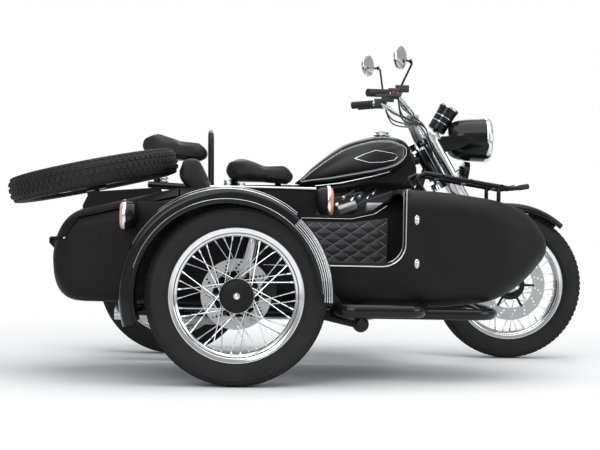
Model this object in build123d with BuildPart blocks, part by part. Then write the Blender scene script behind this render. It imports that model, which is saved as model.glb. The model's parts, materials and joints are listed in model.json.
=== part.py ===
# Sidecar motorcycle on four 18 inch wheels, one of them a spare on the sidecar's boot lid.
# All sizes are in millimetres. The machine stands on its three wheels on the floor, up = 0.
from build123d import *
import math
import os

# Sizes that lead.
# Wheels: 4.00-18 tyres on wire-spoked rims.
TYRE_R = 330.0
TYRE_W = 102.0
BEAD_R = 228.6
FLANGE_R = 244.0
RIM_HALF = 36.0
HUB_R = 48.0
HUB_HALF = 40.0
SPOKES = 20
SPOKE_W = 5.0
# Chassis: where the three axles stand.
WHEELBASE = 1498.0
TRACK = 1131.0
WHEEL_LEAD = 263.0
# The middle of the whole machine, measured from the sidecar wheel's foot.
MID_AHEAD = 341.5
MID_LEFT = 719.5
# Steering head.
RAKE = 30.0
FORK_OFFSET = 60.0
LEG_GAP = 102.0
LEG_R = 27.0
STANCHION_R = 23.0
# Sidecar body.
BODY_LEFT = 405.0
WALL = 8.0
LID_GAP = 6.0
LID_PIN_R = 6.0
LID_PIN_AHEAD = -699.0
LID_PIN_UP = 512.0
SPARE_AHEAD = -557.0
SPARE_UP = 760.0
SPARE_TILT = 12.2
# Clearance kept between pieces that move past one another.
CLEAR = 6.0
# Running gap between a shaft and what turns on it.
SHAFT_GAP = 0.3

# The swing arm's pivot, ahead of the rear tyre.
PIVOT_AHEAD = 95.0

BIKE_LEFT = TRACK
REAR_AHEAD = -WHEEL_LEAD
FRONT_AHEAD = WHEELBASE - WHEEL_LEAD


def at(ahead, left, up):
    """A place given ahead of, left of and above the sidecar wheel's foot."""
    return (ahead - MID_AHEAD, left - MID_LEFT, up)


def side_view(left):
    """Sketch plane seen from the sidecar's side: x runs ahead, y runs up."""
    return Plane(origin=at(0, left, 0), x_dir=(1, 0, 0), z_dir=(0, -1, 0))


def plan_view(up):
    """Sketch plane seen from above: x runs ahead, y runs left."""
    return Plane(origin=at(0, 0, up))


def cross_view(ahead, left=0, up=0):
    """Sketch plane seen from the front: x runs left, y runs up."""
    return Plane(origin=at(ahead, left, up), x_dir=(0, 1, 0), z_dir=(1, 0, 0))


def tipped_view(ahead, left, up, tilt):
    """Sketch plane of a wheel lying flat, tipped up ahead: x runs up its axle."""
    angle = math.radians(tilt)
    return Plane(
        origin=at(ahead, left, up),
        x_dir=(-math.sin(angle), 0, math.cos(angle)),
        z_dir=(-math.cos(angle), 0, -math.sin(angle)),
    )


def eased(places, bend):
    """A line of places whose corners are taken in two or three short straight runs."""
    line = [places[0]]
    for before, corner, after in zip(places, places[1:], places[2:]):
        arrive = (corner - before).normalized()
        leave = (after - corner).normalized()
        half_turn = math.radians(arrive.get_angle(leave)) / 2
        if not bend or half_turn < math.radians(10):
            line.append(corner)
            continue
        reach = bend * math.tan(half_turn)
        inward = (leave - arrive).normalized() * (bend / math.cos(half_turn) - bend)
        line.append(corner - arrive * reach)
        if half_turn > math.radians(25):
            line.append(corner + inward)
        line.append(corner + leave * reach)
    line.append(places[-1])
    return line


def tube(points, radius, bend=0.0):
    """A round bar that follows a line of places, its corners eased and mitred."""
    places = eased([Vector(*at(*point)) for point in points], bend)
    with BuildLine(mode=Mode.PRIVATE) as path:
        Polyline(*places)
    start = Plane(origin=path.line @ 0, z_dir=path.line % 0)
    with BuildSketch(start, mode=Mode.PRIVATE) as ring:
        Circle(radius)
    sweep(sections=ring.sketch, path=path.line, transition=Transition.RIGHT)


def rod(start, end, radius, mode=Mode.ADD):
    """A straight round bar between two places."""
    foot = Vector(*at(*start))
    head = Vector(*at(*end))
    with BuildSketch(Plane(origin=foot, z_dir=head - foot), mode=Mode.PRIVATE) as ring:
        Circle(radius)
    extrude(ring.sketch, amount=(head - foot).length, mode=mode)


def turned(points, spot, mode=Mode.ADD):
    """A piece turned about an axle, from (along the axle, radius) corners."""
    with BuildSketch(spot, mode=Mode.PRIVATE) as outline:
        with BuildLine():
            Polyline(*points, close=True)
        make_face()
    revolve(outline.sketch, axis=Axis(spot.origin, spot.x_dir), mode=mode)


def arched(points, spot, ahead_arc, behind_arc):
    """A mudguard: one (left, radius) section swept both ways from the top."""
    with BuildSketch(spot, mode=Mode.PRIVATE) as outline:
        with BuildLine():
            Polyline(*points, close=True)
        make_face()
    flipped = spot.x_dir * -1
    revolve(outline.sketch, axis=Axis(spot.origin, spot.x_dir), revolution_arc=ahead_arc)
    revolve(outline.sketch, axis=Axis(spot.origin, flipped), revolution_arc=behind_arc)


def block(ahead, left, up, length, width, height, round_over=0.0):
    """A block by its middle, its long edges rounded when wanted."""
    with BuildSketch(cross_view(ahead - length / 2, left, up), mode=Mode.PRIVATE) as face:
        if round_over:
            RectangleRounded(width, height, round_over)
        else:
            Rectangle(width, height)
    extrude(face.sketch, amount=length)


def slab(points, left, width, corner=0.0, mode=Mode.ADD):
    """A piece cut to a side outline of (ahead, up) corners, centred on one plane."""
    with BuildSketch(side_view(left), mode=Mode.PRIVATE) as outline:
        with BuildLine():
            Polyline(*points, close=True)
        make_face()
        if corner:
            fillet(outline.vertices(), corner)
    extrude(outline.sketch, amount=width / 2, both=True, mode=mode)


def rise(length):
    """How far ahead and up a length along the fork's rake reaches."""
    angle = math.radians(RAKE)
    return (-length * math.sin(angle), length * math.cos(angle))


def on_leg(length, left=0.0, back=0.0):
    """A place along the fork's legs, measured up from the front axle."""
    ahead, up = rise(length)
    angle = math.radians(RAKE)
    return (
        FRONT_AHEAD + ahead - back * math.cos(angle),
        BIKE_LEFT + left,
        TYRE_R + up - back * math.sin(angle),
    )


# Wheels.
def make_tyre(spot):
    """One tyre: foot on the rim's bed, bulged sides and a round crown."""
    half = TYRE_W / 2
    turned(
        [
            (-29, BEAD_R),
            (-30, 246),
            (-half + 6, 262),
            (-half, 284),
            (-half + 5, 308),
            (-30, 324),
            (-12, TYRE_R),
            (12, TYRE_R),
            (30, 324),
            (half - 5, 308),
            (half, 284),
            (half - 6, 262),
            (30, 246),
            (29, BEAD_R),
        ],
        spot,
    )


def make_rim(spot, bore, hub_half=HUB_HALF):
    """One wire wheel: rim with a sunken bed, hub with flanges, crossed spokes."""
    turned(
        [
            (-29, BEAD_R - 4),
            (-18, BEAD_R - 4),
            (-12, BEAD_R - 16),
            (12, BEAD_R - 16),
            (18, BEAD_R - 4),
            (29, BEAD_R - 4),
            (RIM_HALF, FLANGE_R),
            (RIM_HALF - 5, FLANGE_R),
            (29, BEAD_R),
            (16, BEAD_R),
            (10, BEAD_R - 12),
            (-10, BEAD_R - 12),
            (-16, BEAD_R),
            (-29, BEAD_R),
            (-RIM_HALF + 5, FLANGE_R),
            (-RIM_HALF, FLANGE_R),
        ],
        spot,
    )
    turned(
        [
            (-hub_half, bore),
            (-hub_half, HUB_R - 8),
            (-hub_half + 2, HUB_R + 8),
            (-hub_half + 8, HUB_R + 8),
            (-hub_half + 12, HUB_R - 10),
            (hub_half - 12, HUB_R - 10),
            (hub_half - 8, HUB_R + 8),
            (hub_half - 2, HUB_R + 8),
            (hub_half, HUB_R - 8),
            (hub_half, bore),
        ],
        spot,
    )
    reach = BEAD_R - 14
    for number in range(SPOKES):
        side = 1 if number % 2 else -1
        cross = 1 if (number // 2) % 2 else -1
        angle = 360.0 * number / SPOKES
        swing = math.radians(angle + 62 * cross)
        foot_r = HUB_R - 2
        turn = math.radians(angle)
        foot = spot.from_local_coords(
            (side * (hub_half - 6), foot_r * math.cos(swing), foot_r * math.sin(swing))
        )
        head = spot.from_local_coords(
            (side * 4, reach * math.cos(turn), reach * math.sin(turn))
        )
        lengthwise = Vector(*head) - Vector(*foot)
        with BuildSketch(Plane(origin=foot, z_dir=lengthwise), mode=Mode.PRIVATE) as spoke:
            Rectangle(SPOKE_W, SPOKE_W)
        extrude(spoke.sketch, amount=lengthwise.length)


AXLE_R = 10.0
HUB_BORE = AXLE_R + SHAFT_GAP

FRONT_SPOT = cross_view(FRONT_AHEAD, BIKE_LEFT, TYRE_R)
REAR_SPOT = cross_view(REAR_AHEAD, BIKE_LEFT, TYRE_R)
SIDE_SPOT = cross_view(0, 0, TYRE_R)
SPARE_SPOT = tipped_view(SPARE_AHEAD, BODY_LEFT, SPARE_UP, SPARE_TILT)

with BuildPart() as front_tyre:
    make_tyre(FRONT_SPOT)
with BuildPart() as rear_tyre:
    make_tyre(REAR_SPOT)
with BuildPart() as sidecar_tyre:
    make_tyre(SIDE_SPOT)
with BuildPart() as spare_tyre:
    make_tyre(SPARE_SPOT)
with BuildPart() as front_rim:
    make_rim(FRONT_SPOT, HUB_BORE)
with BuildPart() as rear_rim:
    make_rim(REAR_SPOT, HUB_BORE)
    # The brake drum rides on the right of the rear hub.
    turned(
        [(-HUB_HALF - 12, 30), (-HUB_HALF - 12, 82), (-HUB_HALF, 88), (-HUB_HALF, 30)],
        REAR_SPOT,
    )
with BuildPart() as sidecar_rim:
    make_rim(SIDE_SPOT, HUB_BORE)
with BuildPart() as spare_rim:
    make_rim(SPARE_SPOT, HUB_BORE)

# The front brake disc rides on the hub's right side, the sidecar's on its left.
DISC_T = 5.0
DISC_FACE = 60.0
FRONT_DISC_R = 157.0
SIDE_DISC_R = 130.0


def make_disc(spot, side, radius, face=DISC_FACE):
    """A brake disc with its carrier, drawn in to the hub's end."""
    carrier = radius - 42
    for near, far, inner, outer in (
        (face - DISC_T, face, carrier - 6, radius),
        (face - DISC_T - 4, face - DISC_T, 30, carrier),
        (HUB_HALF, face - DISC_T, 24, 36),
    ):
        turned(
            [
                (side * near, inner),
                (side * near, outer),
                (side * far, outer),
                (side * far, inner),
            ],
            spot,
        )


def cut_disc_path(spot, side, radius):
    """Cut the room a brake disc needs out of its caliper."""
    near = side * (DISC_FACE - DISC_T - CLEAR)
    far = side * (DISC_FACE + CLEAR)
    reach = radius + CLEAR
    inner = AXLE_R + 20
    turned([(near, inner), (near, reach), (far, reach), (far, inner)], spot, Mode.SUBTRACT)


with BuildPart() as front_disc:
    make_disc(FRONT_SPOT, -1, FRONT_DISC_R)
with BuildPart() as sidecar_disc:
    make_disc(SIDE_SPOT, 1, SIDE_DISC_R)
with BuildPart() as hub_cap:
    turned(
        [
            (-HUB_HALF, 20),
            (-HUB_HALF, 57),
            (-HUB_HALF - 6, 57),
            (-HUB_HALF - 20, 50),
            (-HUB_HALF - 30, 28),
            (-HUB_HALF - 36, 14),
            (-HUB_HALF - 36, 0),
            (-HUB_HALF - 26, 0),
            (-HUB_HALF - 24, 14),
            (-HUB_HALF - 16, 20),
        ],
        SIDE_SPOT,
    )

# Fork and everything that steers.
BAR_UP = 1055.0
GRIP_HALF = 330.0
with BuildPart() as handlebar:
    tube(
        [
            (555, BIKE_LEFT - GRIP_HALF, 1148),
            (672, BIKE_LEFT - GRIP_HALF + 70, 1154),
            (770, BIKE_LEFT - 120, BAR_UP + 24),
            (788, BIKE_LEFT, BAR_UP + 2),
            (770, BIKE_LEFT + 120, BAR_UP + 24),
            (672, BIKE_LEFT + GRIP_HALF - 70, 1154),
            (555, BIKE_LEFT + GRIP_HALF, 1148),
        ],
        11,
        40,
    )
LEG_TOP = 775.0
STEM_R = 14.0
with BuildPart() as fork:
    for side in (-1, 1):
        rod(on_leg(-22, side * LEG_GAP), on_leg(330, side * LEG_GAP), LEG_R)
        rod(on_leg(325, side * LEG_GAP), on_leg(LEG_TOP, side * LEG_GAP), STANCHION_R)
    rod(on_leg(0, -LEG_GAP - 32), on_leg(0, LEG_GAP + 32), AXLE_R)
    for low, thick in ((525, 34), (LEG_TOP - 45, 30)):
        foot = on_leg(low)
        place = Plane(
            origin=at(*foot),
            x_dir=(0, 1, 0),
            z_dir=(-math.sin(math.radians(RAKE)), 0, math.cos(math.radians(RAKE))),
        )
        with BuildSketch(place):
            with Locations((-LEG_GAP, 0), (LEG_GAP, 0)):
                Circle(LEG_R + 9)
            Rectangle(2 * LEG_GAP, 46)
            with Locations((0, FORK_OFFSET)):
                Circle(34)
            with Locations((0, FORK_OFFSET / 2)):
                Rectangle(90, FORK_OFFSET)
        extrude(amount=thick)
    rod(on_leg(530, 0, FORK_OFFSET), on_leg(LEG_TOP - 20, 0, FORK_OFFSET), STEM_R)
    # Risers carry the bar on the top clamp.
    for side in (-1, 1):
        riser = on_leg(LEG_TOP - 30, side * 45, 30)
        rod(riser, (782, riser[1], BAR_UP + 13), 15)
    add(handlebar.part, mode=Mode.SUBTRACT)

with BuildPart() as grips:
    for side in (-1, 1):
        rod(
            (549, BIKE_LEFT + side * (GRIP_HALF + 3.6), 1147.7),
            (640, BIKE_LEFT + side * (GRIP_HALF - 50.9), 1152.4),
            17,
        )
    add(handlebar.part, mode=Mode.SUBTRACT)
with BuildPart() as controls:
    for side in (-1, 1):
        left = BIKE_LEFT + side * (GRIP_HALF - 68)
        block(668, left, 1153, 44, 44, 46, 12)
        block(706, left - side * 12, 1176, 56, 34, 30, 8)
        tube(
            [
                (700, left + side * 2, 1158),
                (690, left + side * 36, 1142),
                (580, left + side * 92, 1134),
            ],
            6,
        )
    add(handlebar.part, mode=Mode.SUBTRACT)
    add(grips.part, mode=Mode.SUBTRACT)
with BuildPart() as mirrors:
    for side, stem_up, glass_ahead, glass_up in ((-1, 1290, 694, 1300), (1, 1322, 640, 1336)):
        left = BIKE_LEFT + side * (GRIP_HALF - 76)
        tube(
            [
                (690, left, 1166),
                (742 if side < 0 else 672, left + side * 30, stem_up - 8),
                (glass_ahead + 14, left + side * 62, glass_up),
            ],
            5.5,
        )
        with BuildSketch(cross_view(glass_ahead - 9, left + side * 70, glass_up)):
            Ellipse(66, 42)
        extrude(amount=12)
        with BuildSketch(cross_view(glass_ahead + 3, left + side * 70, glass_up)):
            Ellipse(58, 34)
        extrude(amount=8)
    add(controls.part, mode=Mode.SUBTRACT)
    add(handlebar.part, mode=Mode.SUBTRACT)

with BuildPart() as headlamp_shell:
    with BuildSketch(side_view(BIKE_LEFT)):
        with BuildLine():
            Polyline((1116, 977), (1116, 1072), (1060, 1074), (1000, 1052), (962, 1014), (948, 977))
            Line((948, 977), (1116, 977))
        make_face()
    revolve(axis=Axis(at(0, BIKE_LEFT, 977), (1, 0, 0)))
    for side in (-1, 1):
        slab([(880, 930), (905, 985), (1040, 990), (1050, 965), (940, 918)], BIKE_LEFT + side * 95, 5)
        rod((1030, BIKE_LEFT + side * 98, 977), (1030, BIKE_LEFT + side * 86, 977), 9)
    add(fork.part, mode=Mode.SUBTRACT)
with BuildPart() as headlamp_glass:
    with BuildSketch(side_view(BIKE_LEFT)):
        with BuildLine():
            Polyline((1116, 977), (1116, 1076), (1132, 1074), (1140, 1062), (1150, 1020), (1153, 977))
            Line((1153, 977), (1116, 977))
        make_face()
    revolve(axis=Axis(at(0, BIKE_LEFT, 977), (1, 0, 0)))
with BuildPart() as gauge:
    lean = Vector(0.49, 0, -0.86)
    rod((948, BIKE_LEFT, 1108), (900, BIKE_LEFT, 1022), 42)
    rod((957, BIKE_LEFT, 1122), (947, BIKE_LEFT, 1106), 46)
    rod((908, BIKE_LEFT, 1036), (872, BIKE_LEFT, 972), 15)
    add(fork.part, mode=Mode.SUBTRACT)
with BuildPart() as horn:
    rod((1018, BIKE_LEFT, 833), (1044, BIKE_LEFT, 829), 48)
    rod((1000, BIKE_LEFT, 838), (1020, BIKE_LEFT, 833), 24)
    rod((1006, BIKE_LEFT, 837), (968, BIKE_LEFT, 800), 9)
    add(fork.part, mode=Mode.SUBTRACT)

with BuildPart() as front_fender:
    arched(
        [
            (-66, 338), (-66, 346), (-50, 362), (0, 368), (50, 362), (66, 346), (66, 338),
            (62, 338), (62, 344), (48, 358), (0, 364), (-48, 358), (-62, 344), (-62, 338),
        ],
        FRONT_SPOT,
        41,
        92,
    )
    for side in (-1, 1):
        foot = (FRONT_AHEAD - 352, BIKE_LEFT + side * 64, 345)
        rod(on_leg(45, side * LEG_GAP), foot, 4.5)
        rod(on_leg(352, side * 64), on_leg(352, side * LEG_GAP), 9)
    add(fork.part, mode=Mode.SUBTRACT)
with BuildPart() as front_caliper:
    block(1108, BIKE_LEFT - 61.5, 442, 50, 37, 70, 6)
    cut_disc_path(FRONT_SPOT, -1, FRONT_DISC_R)
    slab([(1096, 460), (1160, 486), (1176, 420), (1120, 412)], BIKE_LEFT - 84, 9)
    add(fork.part, mode=Mode.SUBTRACT)

# Motorcycle frame, engine and running gear.
HEAD_R = 26.0
FRAME_TUBE_R = 14.0
HEAD_BORE = STEM_R + SHAFT_GAP
with BuildPart() as frame:
    rod(on_leg(572, 0, FORK_OFFSET), on_leg(718, 0, FORK_OFFSET), HEAD_R)
    low = on_leg(648, 0, FORK_OFFSET)
    high = on_leg(680, 0, FORK_OFFSET)
    tube([high, (690, BIKE_LEFT, 842), (300, BIKE_LEFT, 740), (-150, BIKE_LEFT, 730)], 19, 80)
    for side in (-1, 1):
        tube(
            [
                low,
                (760, BIKE_LEFT + side * 60, 560),
                (700, BIKE_LEFT + side * 150, 250),
                (600, BIKE_LEFT + side * 150, 205),
                (0, BIKE_LEFT + side * 150, 205),
                (-30, BIKE_LEFT + side * 138, 300),
                (-60, BIKE_LEFT + side * 138, 730),
                (-380, BIKE_LEFT + side * 138, 744),
            ],
            FRAME_TUBE_R,
            50,
        )
        rod((-60, BIKE_LEFT + side * 138, 720), (240, BIKE_LEFT, 738), 12)
    for ahead, up in ((-60, 724), (-370, 744), (600, 205), (120, 205)):
        rod((ahead, BIKE_LEFT - 150, up), (ahead, BIKE_LEFT + 150, up), 11)
    # Plates on both sides hold the swing arm's pivot.
    for side in (-1, 1):
        slab([(50, 200), (140, 200), (125, 372), (65, 372)], BIKE_LEFT + side * 142, 10)
    rod(on_leg(565, 0, FORK_OFFSET), on_leg(725, 0, FORK_OFFSET), HEAD_BORE, Mode.SUBTRACT)

with BuildPart() as engine:
    slab(
        [(250, 236), (640, 236), (680, 300), (680, 470), (620, 560), (300, 560), (250, 520)],
        BIKE_LEFT,
        250,
    )
    rod((700, BIKE_LEFT, 400), (670, BIKE_LEFT, 400), 96)
    # A foot under the crankcase stands on the frame's cross bar.
    block(600, BIKE_LEFT, 223, 46, 120, 28)
    add(frame.part, mode=Mode.SUBTRACT)
with BuildPart() as swing_arm:
    for side in (-1, 1):
        left = BIKE_LEFT + side * 106
        rod((PIVOT_AHEAD, left, TYRE_R), (REAR_AHEAD - 20, left, TYRE_R), 14)
    rod((PIVOT_AHEAD, BIKE_LEFT - 137, TYRE_R), (PIVOT_AHEAD, BIKE_LEFT + 137, TYRE_R), 17)
    rod((REAR_AHEAD, BIKE_LEFT - 134, TYRE_R), (REAR_AHEAD, BIKE_LEFT + 134, TYRE_R), AXLE_R)
with BuildPart() as drive:
    slab([(118, 250), (250, 240), (250, 500), (190, 520), (118, 480)], BIKE_LEFT, 190)
    block(142, BIKE_LEFT, 231, 48, 120, 46)
    rod((REAR_AHEAD, BIKE_LEFT - 90, TYRE_R), (REAR_AHEAD, BIKE_LEFT - 58, TYRE_R), 84)
    rod((REAR_AHEAD + 60, BIKE_LEFT - 88, TYRE_R), (130, BIKE_LEFT - 80, 350), 24)
    add(swing_arm.part, mode=Mode.SUBTRACT)
    add(frame.part, mode=Mode.SUBTRACT)

CYL_AHEAD = 500.0
CYL_UP = 430.0


def make_cylinder(side):
    """One finned cylinder with its head, sticking out on one side."""
    near = 125
    turned_side = []
    for number in range(9):
        inner = near + 12 + number * 13
        turned_side.append((side * inner, 60))
        turned_side.append((side * inner, 84))
        turned_side.append((side * (inner + 5), 84))
        turned_side.append((side * (inner + 5), 60))
    outline = [(side * near, 1), (side * near, 60)] + turned_side
    outline += [(side * 262, 60), (side * 262, 1)]
    turned(outline, cross_view(CYL_AHEAD, BIKE_LEFT, CYL_UP))
    block(CYL_AHEAD, BIKE_LEFT + side * 292, CYL_UP, 156, 62, 150, 16)
    block(CYL_AHEAD, BIKE_LEFT + side * 334, CYL_UP, 140, 24, 118, 10)


with BuildPart() as cylinders:
    make_cylinder(-1)
    make_cylinder(1)
with BuildPart() as intake:
    for side in (-1, 1):
        rod((CYL_AHEAD - 70, BIKE_LEFT + side * 292, 470), (340, BIKE_LEFT + side * 250, 500), 21)
        rod((372, BIKE_LEFT + side * 258, 494), (330, BIKE_LEFT + side * 246, 503), 36)
        tube(
            [
                (342, BIKE_LEFT + side * 250, 500),
                (270, BIKE_LEFT + side * 200, 540),
                (300, BIKE_LEFT + side * 50, 610),
            ],
            20,
            30,
        )
    block(350, BIKE_LEFT, 622, 170, 150, 124, 20)
    # The covered housing on top of the crankcase.
    block(590, BIKE_LEFT, 640, 130, 180, 90, 24)
    rod((590, BIKE_LEFT, 560), (590, BIKE_LEFT, 600), 40)
    add(cylinders.part, mode=Mode.SUBTRACT)


TAIL_UP = 191.0


def make_exhaust(side):
    """One header, one long silencer and its narrow tail, on one side."""
    left = BIKE_LEFT + side * 292
    tail = BIKE_LEFT + side * 270
    tube(
        [
            (CYL_AHEAD + 70, left, CYL_UP - 10),
            (CYL_AHEAD + 170, left, CYL_UP - 20),
            (CYL_AHEAD + 130, left, 200),
            (60, tail, 196),
        ],
        20,
        70,
    )
    rod((100, tail, 196), (-350, tail, 192), 44)
    rod((-345, tail, TAIL_UP), (-400, tail, TAIL_UP), 34)
    rod((-395, tail, TAIL_UP), (-503, tail, TAIL_UP), 25)
    slab([(-60, 200), (-30, 200), (-26, 282), (-60, 282)], tail - side * 40, 8)


with BuildPart() as exhausts:
    make_exhaust(-1)
    make_exhaust(1)
    add(cylinders.part, mode=Mode.SUBTRACT)

with BuildPart() as shocks:
    for side in (-1, 1):
        rod((-236, BIKE_LEFT + side * 122, 345), (-170, BIKE_LEFT + side * 122, 735), 13)
        rod((-226, BIKE_LEFT + side * 122, 404), (-186, BIKE_LEFT + side * 122, 640), 29)
    rod((16, 92, 344), (70, 94, 590), 11)
    rod((30, 92, 404), (64, 94, 560), 25)
    rod((70, 90, 585), (70, BODY_LEFT - 275, 585), 9)
    for neighbour in (frame, swing_arm, drive):
        add(neighbour.part, mode=Mode.SUBTRACT)
with BuildPart() as rear_fender:
    arched(
        [
            (-82, 338), (-82, 352), (-60, 374), (0, 382), (60, 374), (82, 352), (82, 338),
            (78, 338), (78, 350), (58, 370), (0, 378), (-58, 370), (-78, 350), (-78, 338),
        ],
        REAR_SPOT,
        38,
        104,
    )
    # Brackets hang the mudguard from the frame's cross bars.
    slab([(-390, 692), (-350, 698), (-350, 742), (-390, 742)], BIKE_LEFT, 60)
    slab([(-90, 664), (-50, 644), (-50, 722), (-90, 722)], BIKE_LEFT, 60)
    add(frame.part, mode=Mode.SUBTRACT)
with BuildPart() as tail_lamp:
    block(-640, BIKE_LEFT, 520, 60, 90, 70, 16)
    add(rear_fender.part, mode=Mode.SUBTRACT)

with BuildPart() as fuel_tank:
    with BuildSketch(side_view(BIKE_LEFT), mode=Mode.PRIVATE) as tank_side:
        with BuildLine():
            Polyline(
                (275, 756), (300, 800), (345, 846), (465, 937), (570, 974), (667, 986),
                (735, 972), (768, 930), (758, 880), (720, 824), (600, 790), (414, 758),
                close=True,
            )
        make_face()
    extrude(tank_side.sketch, amount=160, both=True)
    with BuildSketch(plan_view(600), mode=Mode.PRIVATE) as tank_plan:
        with BuildLine():
            Polyline(
                (262, BIKE_LEFT - 40), (400, BIKE_LEFT - 100), (560, BIKE_LEFT - 142),
                (690, BIKE_LEFT - 142), (780, BIKE_LEFT - 90), (780, BIKE_LEFT + 90),
                (690, BIKE_LEFT + 142), (560, BIKE_LEFT + 142), (400, BIKE_LEFT + 100),
                (262, BIKE_LEFT + 40), close=True,
            )
        make_face()
    extrude(tank_plan.sketch, amount=500, mode=Mode.INTERSECT)
    with BuildSketch(cross_view(200, BIKE_LEFT, 0), mode=Mode.PRIVATE) as tank_cross:
        with BuildLine():
            Polyline(
                (-150, 740), (-150, 900), (-124, 950), (-70, 980), (0, 990),
                (70, 980), (124, 950), (150, 900), (150, 740), close=True,
            )
        make_face()
    extrude(tank_cross.sketch, amount=700, mode=Mode.INTERSECT)
    # The tunnel underneath clears the frame's top tube.
    slab(
        [(200, 690), (300, 770), (690, 872), (800, 950), (840, 690)],
        BIKE_LEFT,
        60,
        mode=Mode.SUBTRACT,
    )
    add(frame.part, mode=Mode.SUBTRACT)
with BuildPart() as fuel_cap:
    rod((653, BIKE_LEFT, 974), (653, BIKE_LEFT, 1012), 40)
    add(fuel_tank.part, mode=Mode.SUBTRACT)


def make_saddle(points, width, nose_width):
    """A saddle pad cut to a side outline, narrowed toward its nose."""
    slab(points, BIKE_LEFT, width, 18)
    front = max(point[0] for point in points)
    rear = min(point[0] for point in points)
    with BuildSketch(plan_view(600), mode=Mode.PRIVATE) as plan:
        with BuildLine():
            Polyline(
                (rear, BIKE_LEFT - width * 0.34), (rear + 60, BIKE_LEFT - width * 0.5),
                (rear + 150, BIKE_LEFT - width * 0.5), (front - 60, BIKE_LEFT - nose_width * 0.6),
                (front, BIKE_LEFT - nose_width * 0.4), (front, BIKE_LEFT + nose_width * 0.4),
                (front - 60, BIKE_LEFT + nose_width * 0.6), (rear + 150, BIKE_LEFT + width * 0.5),
                (rear + 60, BIKE_LEFT + width * 0.5), (rear, BIKE_LEFT + width * 0.34),
                close=True,
            )
        make_face()
        fillet(plan.vertices(), 20)
    extrude(plan.sketch, amount=500, mode=Mode.INTERSECT)


with BuildPart() as driver_saddle:
    make_saddle(
        [(-50, 812), (-38, 855), (30, 858), (130, 826), (236, 832), (268, 800), (258, 768),
         (120, 778), (20, 780), (-30, 776)],
        280,
        120,
    )
with BuildPart() as pillion_saddle:
    make_saddle(
        [(-424, 908), (-412, 950), (-360, 962), (-240, 928), (-140, 922), (-112, 900),
         (-122, 862), (-260, 868), (-380, 872)],
        280,
        140,
    )
with BuildPart() as saddle_frames:
    block(90, BIKE_LEFT, 771, 240, 90, 8)
    block(-260, BIKE_LEFT, 862, 220, 110, 8)
    for ahead, foot, head in ((-10, 735, 772), (-200, 738, 862), (-340, 742, 862)):
        for side in (-1, 1):
            rod((ahead, BIKE_LEFT + side * 70, foot), (ahead, BIKE_LEFT + side * 70, head), 20)
        rod((ahead, BIKE_LEFT - 138, foot), (ahead, BIKE_LEFT + 138, foot), 9)
        block(ahead, BIKE_LEFT, head - 4, 30, 170, 8)
    rod((190, BIKE_LEFT, 712), (190, BIKE_LEFT, 772), 14)
    # The pillion's grab loop stands between the saddles.
    tube(
        [
            (-108, BIKE_LEFT - 70, 742),
            (-112, BIKE_LEFT - 78, 980),
            (-112, BIKE_LEFT + 78, 980),
            (-108, BIKE_LEFT + 70, 742),
        ],
        13,
        40,
    )
    rod((-108, BIKE_LEFT - 140, 735), (-108, BIKE_LEFT + 140, 735), 9)
    for neighbour in (frame, driver_saddle, pillion_saddle):
        add(neighbour.part, mode=Mode.SUBTRACT)

# Sidecar.
RAIL_UP = 261.7
RAIL_R = 22.0
LEFT_RAIL = 712.0
RIGHT_RAIL = 150.0
with BuildPart() as chassis:
    for rail in (LEFT_RAIL, RIGHT_RAIL):
        tube(
            [(-430, 431, RAIL_UP), (-430, rail, RAIL_UP), (980, rail, RAIL_UP), (980, 431, RAIL_UP)],
            RAIL_R,
            90,
        )
    rod((461, LEFT_RAIL, RAIL_UP), (461, RIGHT_RAIL, RAIL_UP), 20)
    rod((-100, LEFT_RAIL, RAIL_UP), (-100, RIGHT_RAIL, RAIL_UP), 20)
    rod((461, RIGHT_RAIL, RAIL_UP), (461, 40, 226), 20)
    # The step in front of the sidecar wheel.
    tube([(375, 150, 281), (375, -20, 281), (663, -20, 281), (700, 150, 281)], 24, 60)
with BuildPart() as side_swing_arm:
    rod((461, 66, 226), (461, 110, 226), 30)
    rod((461, 92, 226), (0, 88, TYRE_R), 19)
    rod((0, 112, TYRE_R), (0, -36, TYRE_R), AXLE_R)
    rod((0, 74, TYRE_R), (0, 112, TYRE_R), 26)
    # The sidecar brake's caliper and its carrier.
    block(121, 62, 352, 52, 36, 70, 6)
    cut_disc_path(SIDE_SPOT, 1, SIDE_DISC_R)
    slab([(10, 330), (100, 320), (130, 380), (20, 352)], 78, 8)
    add(chassis.part, mode=Mode.SUBTRACT)
    add(shocks.part, mode=Mode.SUBTRACT)

STATIONS = (-684, -640, -560, -420, -280, -140, 0, 140, 280, 420, 560, 700,
            840, 950, 1040, 1110, 1170, 1205, 1220)
TOP_LINE = ((-684, 500), (-640, 585), (-600, 633), (-443, 663), (-222, 715), (635, 728),
            (757, 724), (913, 706), (1009, 690), (1098, 661), (1153, 623), (1220, 540))
LOW_LINE = ((-684, 410), (-642, 320), (-600, 290), (-500, 284), (730, 284), (862, 291),
            (988, 313), (1072, 355), (1155, 418), (1213, 480), (1220, 500))
HALF_LINE = ((-684, 205), (-600, 240), (-400, 268), (-200, 275), (600, 275), (850, 262),
             (1000, 235), (1100, 195), (1180, 130), (1220, 70))


def on_line(line, ahead):
    """The value that a bent line of (ahead, value) corners has at one place."""
    for (start, first), (end, last) in zip(line, line[1:]):
        if ahead <= end:
            return first + (last - first) * (ahead - start) / (end - start)
    return line[-1][1]


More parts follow.
